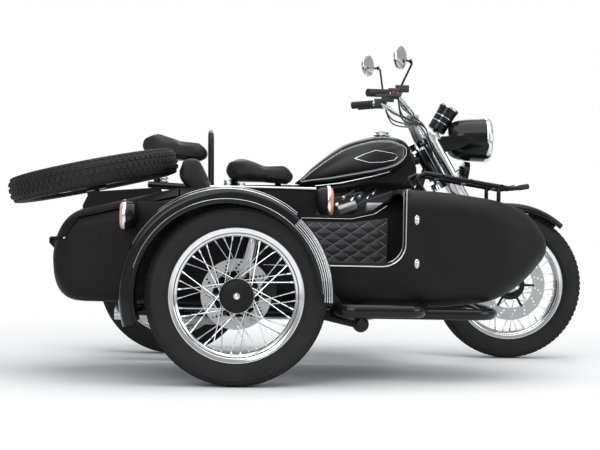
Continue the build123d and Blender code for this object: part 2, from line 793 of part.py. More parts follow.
def make_hull(inset):
    """The sidecar body's outer form, or its hollow when drawn in by the wall."""
    sections = []
    for station in STATIONS:
        ahead = station
        if station == STATIONS[0]:
            ahead = station + inset
        if station == STATIONS[-1]:
            ahead = station - inset
        low = on_line(LOW_LINE, ahead) + inset
        top = on_line(TOP_LINE, ahead) - inset
        half = on_line(HALF_LINE, ahead) - inset
        corner = min(80.0, (top - low) * 0.45, half * 0.45)
        place = cross_view(ahead, BODY_LEFT, (low + top) / 2)
        with BuildSketch(place, mode=Mode.PRIVATE) as section:
            RectangleRounded(2 * half, top - low, corner)
        sections.append(section.sketch)
    loft(sections=sections, ruled=True)


LID_SEAM = ((-720, 500), (-640, 520), (-590, 594), (-420, 634), (-214, 682), (-214, 900), (-720, 900))
with BuildPart(mode=Mode.PRIVATE) as hollow:
    make_hull(WALL)
with BuildPart(mode=Mode.PRIVATE) as shell:
    make_hull(0)
    add(hollow.part, mode=Mode.SUBTRACT)

COCKPIT_CUTS = (
    # Outline corners, middle plane, width, rounding of the low corners.
    (((-150, 622), (470, 622), (560, 632), (640, 664), (662, 760), (-150, 760)), BODY_LEFT, 490, 0),
    (
        ((-150, 617), (480, 617), (570, 640), (640, 690), (650, 760), (-150, 760)),
        BODY_LEFT + 200,
        200,
        0,
    ),
    (((150, 440), (634, 440), (634, 760), (150, 760)), 130, 140, 85),
)
TRIM_WIDTH = 11.0
TRIM_LIP = 3.0


def make_cuts(drawn_in, mode):
    """The cockpit's opening and the step-in cut, drawn in for the trim's inner edge."""
    for corners, left, width, rounding in COCKPIT_CUTS:
        with BuildSketch(side_view(left), mode=Mode.PRIVATE) as outline:
            with BuildLine():
                Polyline(*corners, close=True)
            make_face()
            if rounding:
                fillet(outline.vertices().group_by(Axis.Z)[0], rounding)
            if drawn_in:
                offset(amount=-drawn_in, kind=Kind.INTERSECTION)
        extrude(outline.sketch, amount=width / 2, both=True, mode=mode)


with BuildPart() as body:
    add(shell.part)
    make_cuts(0, Mode.SUBTRACT)
    slab(LID_SEAM, BODY_LEFT, 620, mode=Mode.SUBTRACT)
    # A bulkhead parts the boot from the cockpit, and a box carries the seat.
    block(-190, BODY_LEFT, 470, WALL, 530, 330)
    block(110, BODY_LEFT, 322.85, 440, 420, 63.7)
    # The side shoulder behind the step-in cut.
    slab([(-120, 617), (292, 617), (292, 724), (-120, 724)], 131, 68, 10)
    slab([(-100, 520), (-40, 520), (-40, 640), (-100, 640)], 134, 34)
    slab([(-370, 560), (-220, 560), (-200, 664), (-370, 664)], 130, 44, 8)
    # Hinge lugs for the boot lid, at its low rear edge, bored for its pin.
    for side in (-1, 1):
        slab(
            [(-711, 500), (-711, 524), (-688, 524), (-678, 496), (-678, 466)],
            BODY_LEFT + side * 106,
            16,
        )
    rod(
        (LID_PIN_AHEAD, BODY_LEFT - 120, LID_PIN_UP),
        (LID_PIN_AHEAD, BODY_LEFT + 120, LID_PIN_UP),
        LID_PIN_R + SHAFT_GAP,
        Mode.SUBTRACT,
    )

with BuildPart() as boot_lid:
    add(shell.part)
    seam = [(ahead, up + LID_GAP) for ahead, up in LID_SEAM]
    seam[4] = (-214 - LID_GAP, seam[4][1])
    seam[5] = (-214 - LID_GAP, 900)
    slab(seam, BODY_LEFT, 620, mode=Mode.INTERSECT)
    rod(
        (LID_PIN_AHEAD, BODY_LEFT - 114, LID_PIN_UP),
        (LID_PIN_AHEAD, BODY_LEFT + 114, LID_PIN_UP),
        LID_PIN_R,
    )
    slab([(-703, 508), (-703, 518), (-662, 552), (-656, 540)], BODY_LEFT, 60)

# The coaming trim follows the cockpit's edge, a lip wider than the wall on both sides.
with BuildPart(mode=Mode.PRIVATE) as trim_shell:
    make_hull(-TRIM_LIP)
with BuildPart(mode=Mode.PRIVATE) as trim_hollow:
    make_hull(WALL + TRIM_LIP)
with BuildPart(mode=Mode.PRIVATE) as trim_zone:
    make_cuts(0, Mode.ADD)
    make_cuts(TRIM_WIDTH, Mode.SUBTRACT)
with BuildPart() as coaming:
    add(trim_shell.part)
    add(trim_hollow.part, mode=Mode.SUBTRACT)
    add(trim_zone.part, mode=Mode.INTERSECT)
    add(body.part, mode=Mode.SUBTRACT)
with BuildPart() as inner_panel:
    slab(
        [(150, 384), (630, 384), (630, 630), (560, 612), (480, 600), (150, 600)],
        BODY_LEFT + 260.7,
        12,
    )
    add(body.part, mode=Mode.SUBTRACT)
with BuildPart() as seat_cushion:
    block(110, BODY_LEFT, 410, 480, 440, 110, 30)
with BuildPart() as backrest:
    slab(
        [(-222, 830), (-160, 842), (-108, 730), (-60, 480), (-130, 470), (-168, 700),
         (-212, 756)],
        BODY_LEFT,
        420,
        18,
    )
    for neighbour in (body, coaming, seat_cushion):
        add(neighbour.part, mode=Mode.SUBTRACT)
LAMP_R = 58.0
LAMP_LEFT = 70.0
with BuildPart() as side_lamps:
    for sign, ahead, up in ((1, 292, 676), (-1, -370, 610)):
        rod((ahead, LAMP_LEFT, up), (ahead + sign * 34, LAMP_LEFT, up), LAMP_R - 8)
        rod((ahead + sign * 34, LAMP_LEFT, up), (ahead + sign * 48, LAMP_LEFT, up), LAMP_R)
        rod((ahead + sign * 48, LAMP_LEFT, up), (ahead + sign * 59, LAMP_LEFT, up), LAMP_R - 6)

FENDER_AHEAD = -36.0
FENDER_UP = 332.0
FENDER_R = 388.0
with BuildPart() as side_fender:
    arched(
        [
            (-82, FENDER_R - 58), (-82, FENDER_R - 24), (-62, FENDER_R - 6), (0, FENDER_R),
            (62, FENDER_R - 6), (82, FENDER_R - 24), (82, FENDER_R - 58),
            (79, FENDER_R - 58), (79, FENDER_R - 25), (60, FENDER_R - 9), (0, FENDER_R - 3),
            (-60, FENDER_R - 9), (-79, FENDER_R - 25), (-79, FENDER_R - 58),
        ],
        cross_view(FENDER_AHEAD, 0, FENDER_UP),
        90,
        108,
    )

def make_strut(ahead, end, along, radius):
    """One strut: a plate on the chassis rail, a bar, and a clamp round the frame's tube."""
    plate_left = LEFT_RAIL + RAIL_R + SHAFT_GAP + PLATE_T / 2
    run = Vector(*along).normalized()
    tip = Vector(*end)
    block(ahead, plate_left, RAIL_UP, 46, PLATE_T, 40)
    rod((ahead, plate_left, RAIL_UP), end, radius)
    rod(tuple(tip - run * 20), tuple(tip + run * 20), FRAME_TUBE_R + 8)
    bore = FRAME_TUBE_R + SHAFT_GAP
    rod(tuple(tip - run * 50), tuple(tip + run * 50), bore, Mode.SUBTRACT)


PLATE_T = 18.0
REAR_TUBE_RUN = (-30, 0, 430)
with BuildPart() as struts:
    make_strut(860, (520, BIKE_LEFT - 150, 205), (1, 0, 0), 17)
    make_strut(-20, (-34.2, BIKE_LEFT - 138, 360), REAR_TUBE_RUN, 17)
    make_strut(760, (783.7, BIKE_LEFT - 45.6, 632), (99, 60, 301), 15)
    make_strut(100, (-50.9, BIKE_LEFT - 138, 600), REAR_TUBE_RUN, 15)
    # Stays that carry the sidecar's mudguard.
    rod((-200, 79, 640), (-200, 134, 640), 8)
    rod((150, 79, 620), (150, 134, 620), 8)
    slab([(336, 290), (336, 345), (356, 345), (394, 300), (394, 290)], 62, 10)
    rod((-390, 79, 262), (-390, 156, 262), 8)
    for neighbour in (chassis, body, coaming, side_fender):
        add(neighbour.part, mode=Mode.SUBTRACT)

with BuildPart() as nose_rack:
    for side in (-1, 1):
        left = BODY_LEFT + side * 120
        tube(
            [
                (720, left, 722), (684, left, 775), (724, left, 794), (860, left, 772),
                (1060, left, 742), (1127, left, 753),
            ],
            9,
            24,
        )
        rod((1010, left, 748), (1010, left, 686), 8)
    for ahead, up in ((790, 783), (900, 766), (1020, 748)):
        rod((ahead, BODY_LEFT - 120, up), (ahead, BODY_LEFT + 120, up), 7)
    add(body.part, mode=Mode.SUBTRACT)

# What carries the spare wheel on the lid.
def tipped(length, left, height):
    """A place on the spare wheel: along it, left of it and out of its plane."""
    angle = math.radians(SPARE_TILT)
    return (
        SPARE_AHEAD + length * math.cos(angle) - height * math.sin(angle),
        BODY_LEFT + left,
        SPARE_UP + length * math.sin(angle) + height * math.cos(angle),
    )


with BuildPart() as spare_carrier:
    rod(tipped(0, 0, -100), tipped(0, 0, 62), AXLE_R)
    rod(tipped(0, 0, HUB_HALF), tipped(0, 0, HUB_HALF + 10), 34)
    rod(tipped(0, 0, -HUB_HALF - 14), tipped(0, 0, -HUB_HALF), 40)
    for side in (-1, 1):
        slab(
            [(-592, 628), (-592, 646), (-566, 700), (-540, 700), (-300, 720), (-290, 692)],
            BODY_LEFT + side * 60,
            8,
        )
    block(-556, BODY_LEFT, 690, 40, 128, 10)
    add(boot_lid.part, mode=Mode.SUBTRACT)

PIECES = {
    "front_tyre": front_tyre,
    "front_rim": front_rim,
    "front_disc": front_disc,
    "rear_tyre": rear_tyre,
    "rear_rim": rear_rim,
    "sidecar_tyre": sidecar_tyre,
    "sidecar_rim": sidecar_rim,
    "sidecar_disc": sidecar_disc,
    "hub_cap": hub_cap,
    "fork": fork,
    "handlebar": handlebar,
    "grips": grips,
    "controls": controls,
    "mirrors": mirrors,
    "headlamp_shell": headlamp_shell,
    "headlamp_glass": headlamp_glass,
    "gauge": gauge,
    "horn": horn,
    "front_fender": front_fender,
    "front_caliper": front_caliper,
    "frame": frame,
    "engine": engine,
    "drive": drive,
    "cylinders": cylinders,
    "intake": intake,
    "exhausts": exhausts,
    "swing_arm": swing_arm,
    "shocks": shocks,
    "rear_fender": rear_fender,
    "tail_lamp": tail_lamp,
    "fuel_tank": fuel_tank,
    "fuel_cap": fuel_cap,
    "driver_saddle": driver_saddle,
    "pillion_saddle": pillion_saddle,
    "saddle_frames": saddle_frames,
    "chassis": chassis,
    "struts": struts,
    "side_swing_arm": side_swing_arm,
    "body": body,
    "coaming": coaming,
    "inner_panel": inner_panel,
    "seat_cushion": seat_cushion,
    "backrest": backrest,
    "side_lamps": side_lamps,
    "side_fender": side_fender,
    "nose_rack": nose_rack,
    "boot_lid": boot_lid,
    "spare_carrier": spare_carrier,
    "spare_tyre": spare_tyre,
    "spare_rim": spare_rim,
}

os.makedirs("parts", exist_ok=True)
for label, piece in PIECES.items():
    piece.part.label = label
    export_step(piece.part, f"parts/{label}.step")
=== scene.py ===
"""Sidecar motorcycle: the looks of every piece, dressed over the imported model."""

from __future__ import annotations

import json
import logging
import math
from contextlib import contextmanager
from dataclasses import dataclass, field
from enum import Enum
from typing import Callable, Iterable, Iterator, Sequence

import bpy
from mathutils import Matrix, Vector

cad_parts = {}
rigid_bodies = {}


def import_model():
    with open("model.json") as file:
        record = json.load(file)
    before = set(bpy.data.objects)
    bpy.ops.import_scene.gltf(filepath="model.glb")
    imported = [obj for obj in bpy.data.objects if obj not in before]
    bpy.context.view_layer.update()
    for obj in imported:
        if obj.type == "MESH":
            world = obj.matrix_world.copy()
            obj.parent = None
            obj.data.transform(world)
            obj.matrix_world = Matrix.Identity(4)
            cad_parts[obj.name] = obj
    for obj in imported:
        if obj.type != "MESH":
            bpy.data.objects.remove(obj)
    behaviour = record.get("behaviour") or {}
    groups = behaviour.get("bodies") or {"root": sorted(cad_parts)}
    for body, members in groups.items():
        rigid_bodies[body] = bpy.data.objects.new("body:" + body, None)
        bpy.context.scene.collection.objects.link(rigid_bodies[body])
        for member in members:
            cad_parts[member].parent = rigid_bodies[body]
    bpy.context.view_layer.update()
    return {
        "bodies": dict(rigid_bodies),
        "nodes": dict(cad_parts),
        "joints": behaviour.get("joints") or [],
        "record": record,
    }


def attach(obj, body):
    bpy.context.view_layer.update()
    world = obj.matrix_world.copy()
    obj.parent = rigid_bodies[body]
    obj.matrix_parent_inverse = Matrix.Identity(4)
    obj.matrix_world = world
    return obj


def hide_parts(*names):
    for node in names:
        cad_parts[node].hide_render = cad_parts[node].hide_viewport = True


LOG = logging.getLogger("sidecar_motorcycle")

Point = tuple[float, float, float]
Profile = Sequence[tuple[float, float]]

MID_AHEAD = 341.5
MID_LEFT = 719.5
TYRE_R = 330.0
BIKE_LEFT = 1131.0
REAR_AHEAD = -263.0
FRONT_AHEAD = 1235.0
BODY_LEFT = 405.0
BAR_REACH = 330.0
RAKE = math.radians(30.0)
SIDES = (-1, 1)
AHEAD = Vector((1.0, 0.0, 0.0))
LEFT = Vector((0.0, 1.0, 0.0))
RIGHT = Vector((0.0, -1.0, 0.0))
UP = Vector((0.0, 0.0, 1.0))


def place(ahead: float, left: float, up: float) -> Vector:
    """Turn millimetres from the sidecar wheel's foot into metres in the row frame.

    Args:
        ahead: Distance ahead of the sidecar axle.
        left: Distance to the left of the sidecar wheel's middle plane.
        up: Height above the floor.

    Returns:
        The place in the shared frame.
    """
    return Vector(((ahead - MID_AHEAD) / 1000, (left - MID_LEFT) / 1000, up / 1000))


def on_ring(centre: Vector, degrees: float, left: float, radius: float) -> Vector:
    """Find a place on a ring about a wheel's axle.

    Args:
        centre: The wheel's centre.
        degrees: How far back from the top it stands.
        left: How far left of the centre, in millimetres.
        radius: The ring's radius, in millimetres.

    Returns:
        The place in the shared frame.
    """
    angle = math.radians(degrees)
    out = Vector((-math.sin(angle), 0.0, math.cos(angle))) * (radius / 1000)
    return centre + out + Vector((0.0, left / 1000, 0.0))


class Body(str, Enum):
    """The moving groups that pieces ride on."""

    MACHINE = "machine"
    STEERING = "steering"
    FRONT_WHEEL = "front_wheel"
    REAR_WHEEL = "rear_wheel"
    SIDECAR_WHEEL = "sidecar_wheel"
    LID = "lid"


class Grain(Enum):
    """What breaks up a finish close to."""

    NONE = "none"
    DUST = "dust"
    LEATHER = "leather"
    CAST = "cast"
    BRUSHED = "brushed"
    RUBBER = "rubber"


def add_node(
    tree: bpy.types.NodeTree, kind: str, values: dict[str, object] | None = None
) -> bpy.types.Node:
    """Add a shader node and set its unlinked sockets.

    Args:
        tree: The node tree.
        kind: The node's type without its common first part.
        values: Constants for its sockets, by their names.

    Returns:
        The new node.
    """
    node = tree.nodes.new(f"ShaderNode{kind}")
    for socket, value in (values or {}).items():
        node.inputs[socket].default_value = value
    return node


def add_math(tree: bpy.types.NodeTree, operation: str) -> bpy.types.Node:
    """Add a math node that does one operation."""
    node = add_node(tree, "Math")
    node.operation = operation
    return node


def wire(
    source: bpy.types.Node, output: str | int, target: bpy.types.Node, socket: str | int
) -> None:
    """Link one node's output to another node's input in the same tree."""
    source.id_data.links.new(source.outputs[output], target.inputs[socket])


@dataclass(frozen=True)
class Finish:
    """One surface finish, built as a node material on the object's own coordinates."""

    name: str
    slot: str
    color: tuple[float, float, float]
    roughness: float
    metallic: float = 0.0
    second: tuple[float, float, float] | None = None
    grain: Grain = Grain.NONE
    grain_size: float = 40.0
    bump: float = 0.0
    rough_swing: float = 0.06
    coat: float = 0.0
    coat_roughness: float = 0.05
    sheen: float = 0.0
    specular: float = 0.5
    transmission: float = 0.0
    alpha: float = 1.0

    def material(self) -> bpy.types.Material:
        """Make the material once and return it.

        Returns:
            The material named after this finish.
        """
        known = bpy.data.materials.get(self.name)
        if known is not None:
            return known
        made = bpy.data.materials.new(self.name)
        made.use_nodes = True
        tree = made.node_tree
        tree.nodes.clear()
        shader = add_node(tree, "BsdfPrincipled", {
            "Base Color": (*self.color, 1.0),
            "Roughness": self.roughness,
            "Metallic": self.metallic,
            "Coat Weight": self.coat,
            "Coat Roughness": self.coat_roughness,
            "Sheen Weight": self.sheen,
            "Specular IOR Level": self.specular,
            "Transmission Weight": self.transmission,
            "Alpha": self.alpha,
        })
        wire(shader, "BSDF", add_node(tree, "OutputMaterial"), "Surface")
        made.diffuse_color = (*self.color, 1.0)
        self._vary(tree, shader)
        return made

    def _vary(self, tree: bpy.types.NodeTree, shader: bpy.types.Node) -> None:
        """Add the colour, gloss and relief that change over the surface.

        Args:
            tree: The material's node tree.
            shader: The surface shader to feed.
        """
        coords = add_node(tree, "TexCoord")
        mapping = add_node(tree, "Mapping")
        if self.grain is Grain.BRUSHED:
            mapping.inputs["Scale"].default_value = (1.0, 14.0, 1.0)
        wire(coords, "Object", mapping, "Vector")
        wide = add_node(tree, "TexNoise", {"Scale": 7.0, "Detail": 6.0, "Roughness": 0.62})
        wire(mapping, "Vector", wide, "Vector")
        if self.second is not None:
            ramp = add_node(tree, "ValToRGB")
            stops = ((0.38, self.color), (0.72, self.second))
            for element, (spot, color) in zip(ramp.color_ramp.elements, stops):
                element.position = spot
                element.color = (*color, 1.0)
            wire(wide, "Fac", ramp, "Fac")
            wire(ramp, "Color", shader, "Base Color")
        gloss = add_node(tree, "MapRange", {
            "To Min": max(0.02, self.roughness - self.rough_swing),
            "To Max": min(1.0, self.roughness + self.rough_swing),
        })
        wire(wide, "Fac", gloss, "Value")
        wire(gloss, "Result", shader, "Roughness")
        if self.bump <= 0.0:
            return
        fine, height = self._fine_pattern(tree, mapping)
        relief = add_node(tree, "Bump", {"Strength": self.bump, "Distance": 0.001})
        wire(fine, height, relief, "Height")
        wire(relief, "Normal", shader, "Normal")

    def _fine_pattern(
        self, tree: bpy.types.NodeTree, mapping: bpy.types.Node
    ) -> tuple[bpy.types.Node, str]:
        """Make the fine relief that suits the grain.

        Args:
            tree: The material's node tree.
            mapping: The node that gives the object's coordinates.

        Returns:
            The node that carries the relief's height, and its output.
        """
        if self.grain is Grain.LEATHER:
            cells = add_node(tree, "TexVoronoi", {"Scale": self.grain_size})
            cells.feature = "DISTANCE_TO_EDGE"
            wire(mapping, "Vector", cells, "Vector")
            edge = add_node(tree, "MapRange", {"From Max": 0.12})
            wire(cells, "Distance", edge, "Value")
            return edge, "Result"
        detail = 8.0 if self.grain is Grain.CAST else 3.0
        fine = add_node(tree, "TexNoise", {"Scale": self.grain_size, "Detail": detail})
        wire(mapping, "Vector", fine, "Vector")
        return fine, "Fac"


SATIN_BLACK = Finish(
    "satin_black_paint", "satin_black", (0.0085, 0.0082, 0.0082), 0.5,
    second=(0.0115, 0.011, 0.011), grain=Grain.DUST, grain_size=900.0, bump=0.04,
    rough_swing=0.05, specular=0.16,
)
GLOSS_BLACK = Finish(
    "gloss_black_paint", "gloss_black", (0.006, 0.006, 0.0065), 0.14,
    second=(0.008, 0.008, 0.0085), coat=0.12, rough_swing=0.04, specular=0.22,
)
TANK_PANEL = Finish(
    "tank_panel_satin", "gloss_black", (0.010, 0.010, 0.011), 0.3,
    second=(0.013, 0.013, 0.014), specular=0.3, grain=Grain.DUST, grain_size=700.0, bump=0.03,
)
CHROME = Finish(
    "bright_chrome", "chrome", (0.80, 0.81, 0.82), 0.09, metallic=1.0,
    second=(0.72, 0.73, 0.75), rough_swing=0.04,
)
WHEEL_CHROME = Finish(
    "wheel_chrome", "wheel_chrome", (0.78, 0.79, 0.80), 0.14, metallic=1.0,
    second=(0.66, 0.67, 0.69), rough_swing=0.05,
)
TRIM_CHROME = Finish(
    "trim_chrome", "trim_chrome", (0.78, 0.78, 0.79), 0.16, metallic=1.0, rough_swing=0.04
)
LAMP_CHROME = Finish(
    "lamp_chrome", "lamp_chrome", (0.78, 0.78, 0.79), 0.12, metallic=1.0, rough_swing=0.04
)
BARE_ALLOY = Finish(
    "cast_alloy", "cast_aluminium", (0.36, 0.36, 0.37), 0.42, metallic=0.9,
    second=(0.28, 0.28, 0.28), grain=Grain.CAST, grain_size=500.0, bump=0.25, rough_swing=0.1,
)
DISC_STEEL = Finish(
    "disc_steel", "disc_steel", (0.46, 0.46, 0.47), 0.3, metallic=1.0,
    second=(0.36, 0.36, 0.37), grain=Grain.BRUSHED, grain_size=300.0, bump=0.08,
)
TYRE_RUBBER = Finish(
    "tyre_rubber", "tyre", (0.013, 0.013, 0.0135), 0.72,
    second=(0.022, 0.0215, 0.021), grain=Grain.RUBBER, grain_size=420.0, bump=0.22,
    rough_swing=0.1, specular=0.25,
)
SPARE_RUBBER = Finish(
    "tyre_rubber_spare", "tyre", (0.013, 0.013, 0.0135), 0.68,
    second=(0.02, 0.02, 0.02), grain=Grain.RUBBER, grain_size=380.0, bump=0.2,
    rough_swing=0.08, specular=0.3,
)
GRIP_RUBBER = Finish(
    "grip_rubber", "grip_rubber", (0.018, 0.018, 0.018), 0.6, grain=Grain.RUBBER,
    grain_size=600.0, bump=0.2,
)
CONTROL_BLACK = Finish(
    "control_black", "control_black", (0.022, 0.022, 0.023), 0.4, grain=Grain.DUST,
    grain_size=800.0, bump=0.1,
)
INTAKE_BLACK = Finish(
    "intake_black", "intake_black", (0.03, 0.03, 0.031), 0.5, second=(0.045, 0.044, 0.043),
    grain=Grain.DUST, grain_size=500.0, bump=0.15,
)
LEATHER = Finish(
    "black_leather", "leather", (0.011, 0.0105, 0.0105), 0.44, second=(0.017, 0.0165, 0.016),
    grain=Grain.LEATHER, grain_size=420.0, bump=0.3, rough_swing=0.08, specular=0.35,
)
QUILT = Finish(
    "quilted_leather", "quilted_leather", (0.019, 0.020, 0.023), 0.5,
    second=(0.026, 0.027, 0.030), specular=0.35, grain=Grain.LEATHER, grain_size=500.0, bump=0.3,
)
PALE_THREAD = Finish(
    "pale_thread", "quilted_leather", (0.42, 0.40, 0.34), 0.8, second=(0.34, 0.32, 0.27)
)
PIN_STRIPE = Finish("pin_stripe", "gloss_black", (0.62, 0.62, 0.60), 0.35)
LENS_WHITE = Finish(
    "lens_white", "lamp_chrome", (0.86, 0.85, 0.83), 0.18, coat=0.5, rough_swing=0.03
)
LENS_ROSE = Finish(
    "lens_rose", "lamp_chrome", (0.75, 0.42, 0.42), 0.2, second=(0.5, 0.12, 0.12), coat=0.5
)
LENS_AMBER = Finish("lens_amber", "lamp_chrome", (0.75, 0.22, 0.08), 0.18, coat=0.5)
TAIL_RED = Finish("tail_red", "red_lens", (0.45, 0.015, 0.012), 0.16, coat=0.6)
CLEAR_GLASS = Finish(
    "clear_glass", "lens", (0.86, 0.9, 0.93), 0.04, alpha=0.35, rough_swing=0.02, coat=0.4
)
MIRROR_GLASS = Finish("mirror_glass", "chrome", (0.86, 0.88, 0.9), 0.03, metallic=1.0)
WELT_BLACK = Finish(
    "welt_black", "trim_chrome", (0.008, 0.008, 0.008), 0.35, grain=Grain.RUBBER,
    grain_size=500.0, bump=0.1, specular=0.3,
)
SWITCH_RED = Finish("switch_red", "control_black", (0.6, 0.03, 0.03), 0.3)


def settle(finish: Finish, piece: bpy.types.Object) -> None:
    """Give a piece one finish."""
    piece.data.materials.clear()
    piece.data.materials.append(finish.material())


def clear_selection() -> None:
    """Leave edit mode and deselect everything."""
    if bpy.context.object is not None and bpy.context.object.mode != "OBJECT":
        bpy.ops.object.mode_set(mode="OBJECT")
    bpy.ops.object.select_all(action="DESELECT")


def pick(piece: bpy.types.Object) -> None:
    """Make one piece the only selected and active object."""
    clear_selection()
    piece.select_set(True)
    bpy.context.view_layer.objects.active = piece


@contextmanager
def editing(piece: bpy.types.Object) -> Iterator[None]:
    """Open a piece's mesh with all of it selected, and close it afterwards."""
    pick(piece)
    bpy.ops.object.mode_set(mode="EDIT")
    bpy.ops.mesh.select_all(action="SELECT")
    yield
    bpy.ops.object.mode_set(mode="OBJECT")


def hang(name: str, data: bpy.types.ID) -> bpy.types.Object:
    """Put a mesh, curve, lamp or camera into the scene as a new object."""
    made = bpy.data.objects.new(name, data)
    bpy.context.collection.objects.link(made)
    return made


def copy_mesh(source: bpy.types.Object, name: str) -> bpy.types.Object:
    """Copy an object's mesh as a new selected object."""
    clear_selection()
    copy = hang(name, source.data.copy())
    pick(copy)
    return copy


def apply_modifier(
    piece: bpy.types.Object, name: str, kind: str, settings: dict[str, object]
) -> None:
    """Change a piece for good with one modifier.

    Args:
        piece: The mesh to change.
        name: The modifier's name.
        kind: The modifier's type.
        settings: Its values by their names.
    """
    pick(piece)
    modifier = piece.modifiers.new(name, kind)
    for key, value in settings.items():
        setattr(modifier, key, value)
    bpy.ops.object.modifier_apply(modifier=modifier.name)


def bake_place(piece: bpy.types.Object) -> None:
    """Move a piece's place and turn into its mesh."""
    pick(piece)
    bpy.ops.object.transform_apply(location=True, rotation=True, scale=True)


def tidy_mesh(piece: bpy.types.Object, gap: float = 1e-5) -> None:
    """Merge doubles and point the faces outwards.

    Args:
        piece: The mesh to tidy.
        gap: Vertices nearer than this are merged, in metres.
    """
    with editing(piece):
        bpy.ops.mesh.remove_doubles(threshold=gap)
        bpy.ops.mesh.normals_make_consistent(inside=False)


def close_ends(piece: bpy.types.Object) -> None:
    """Fill the open ends of a swept form and point its faces outwards."""
    with editing(piece):
        bpy.ops.mesh.select_all(action="DESELECT")
        bpy.ops.mesh.select_mode(type="EDGE")
        bpy.ops.mesh.select_non_manifold(extend=False, use_wire=False, use_multi_face=False)
        bpy.ops.mesh.fill_holes(sides=0)
        bpy.ops.mesh.select_all(action="SELECT")
        bpy.ops.mesh.normals_make_consistent(inside=False)


def smooth(piece: bpy.types.Object, degrees: float = 35.0) -> None:
    """Shade a piece smooth, with creases kept over an angle."""
    pick(piece)
    bpy.ops.object.shade_smooth_by_angle(angle=math.radians(degrees))


def apply_bevel(piece: bpy.types.Object, width: float, segments: int = 2) -> None:
    """Round a piece's sharp edges for good.

    Args:
        piece: The mesh to round.
        width: The bevel's width in metres.
        segments: How many faces go round an edge.
    """
    apply_modifier(piece, "edge", "BEVEL", {
        "width": width,
        "segments": segments,
        "limit_method": "ANGLE",
        "angle_limit": math.radians(32),
        "harden_normals": False,
    })


def finish_piece(
    piece: bpy.types.Object,
    name: str,
    body: Body,
    finish: Finish,
    replaces: Iterable[str] = (),
    degrees: float = 35.0,
) -> bpy.types.Object:
    """Name, shade, dress and seat one finished piece.

    Args:
        piece: The mesh object.
        name: Its name in the model.
        body: The moving group that it rides on.
        finish: Its surface finish.
        replaces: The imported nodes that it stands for.
        degrees: Edges sharper than this stay creased.

    Returns:
        The same piece.
    """
    piece.name = name
    piece.data.name = name
    smooth(piece, degrees)
    settle(finish, piece)
    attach(piece, body.value)
    nodes = tuple(replaces)
    if nodes:
        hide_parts(*nodes)
    LOG.info("%s rides on %s", name, body.value)
    return piece


def grid(
    name: str, across: int, along: int, shape: Callable[[float, float], Vector]
) -> bpy.types.Object:
    """Start from a flat grid and move its points onto a curved surface.

    Args:
        name: The new object's name.
        across: How many strips run one way.
        along: How many strips run the other way.
        shape: Gives the place for two fractions from 0 to 1.

    Returns:
        The shaped mesh object.
    """
    clear_selection()
    bpy.ops.mesh.primitive_grid_add(x_subdivisions=across, y_subdivisions=along, size=2.0)
    piece = bpy.context.object
    piece.name = name
    for vertex in piece.data.vertices:
        u = (vertex.co.x + 1.0) / 2.0
        v = (vertex.co.y + 1.0) / 2.0
        vertex.co = shape(u, v)
    piece.location = (0.0, 0.0, 0.0)
    tidy_mesh(piece)
    return piece


def lathe(
    name: str, profile: Profile, centre: Vector, axis: Vector, steps: int
) -> bpy.types.Object:
    """Turn a closed profile of (along, radius) millimetres about an axis.

    Args:
        name: The new object's name.
        profile: The profile's corners in order.
        centre: Where the profile's zero lies on the axis.
        axis: The axis direction.
        steps: How many faces go round.

    Returns:
        The turned mesh object.
    """
    run = axis.normalized()
    side = run.orthogonal().normalized()
    clear_selection()
    bpy.ops.mesh.primitive_circle_add(vertices=len(profile), radius=1.0, fill_type="NOTHING")
    piece = bpy.context.object
    piece.name = name
    for vertex, (along, radius) in zip(piece.data.vertices, profile):
        vertex.co = centre + run * (along / 1000) + side * (radius / 1000)
    piece.location = (0.0, 0.0, 0.0)
    with editing(piece):
        bpy.ops.mesh.spin(steps=steps, angle=math.tau, center=centre, axis=run, dupli=False)
    tidy_mesh(piece, 2e-6)
    return piece


def ring_copies(piece: bpy.types.Object, centre: Vector, axis: Vector, count: int) -> None:
    """Repeat all that a piece holds evenly round an axis.

    Args:
        piece: The mesh that is repeated.
        centre: A point on the axis.
        axis: The axis direction.
        count: How many there are in the end.
    """
    turn = math.tau * (count - 1) / count
    with editing(piece):
        bpy.ops.mesh.spin(steps=count - 1, angle=turn, center=centre, axis=axis, dupli=True)


def bar(
    name: str,
    points: Sequence[Vector],
    radius: float,
    sides: int = 4,
    bend: bool = False,
    caps: bool = True,
) -> bpy.types.Object:
    """Draw a round bar through places, straight or as one smooth bend.

    Args:
        name: The new object's name.
        points: The places it runs through.
        radius: Its radius in metres.
        sides: The bevel resolution, which sets how round it is.
        bend: Whether the bar is one smooth curve.
        caps: Whether its ends are closed.

    Returns:
        The bar as a mesh object.
    """
    clear_selection()
    curve = bpy.data.curves.new(name, "CURVE")
    curve.dimensions = "3D"
    curve.bevel_depth = radius
    curve.bevel_resolution = sides
    curve.use_fill_caps = caps
    curve.resolution_u = 10
    spline = curve.splines.new("NURBS" if bend else "POLY")
    spline.points.add(len(points) - 1)
    for point, spot in zip(spline.points, points):
        point.co = (*spot, 1.0)
    if bend:
        spline.order_u = 3
        spline.use_endpoint_u = True
    pick(hang(name, curve))
    bpy.ops.object.convert(target="MESH")
    piece = bpy.context.object
    tidy_mesh(piece)
    return piece


def brick(name: str, centre: Vector, size: Point, round_over: float = 0.0) -> bpy.types.Object:
    """Add a block at its place, its edges rounded.

    Args:
        name: The new object's name.
        centre: The block's middle.
        size: Its three sizes in metres.
        round_over: The rounding of its edges in metres.

    Returns:
        The block.
    """
    clear_selection()
    bpy.ops.mesh.primitive_cube_add(size=1.0, location=centre)
    piece = bpy.context.object
    piece.name = name
    piece.scale = size
    bake_place(piece)
    if round_over > 0.0:
        apply_bevel(piece, round_over, 3)
    return piece


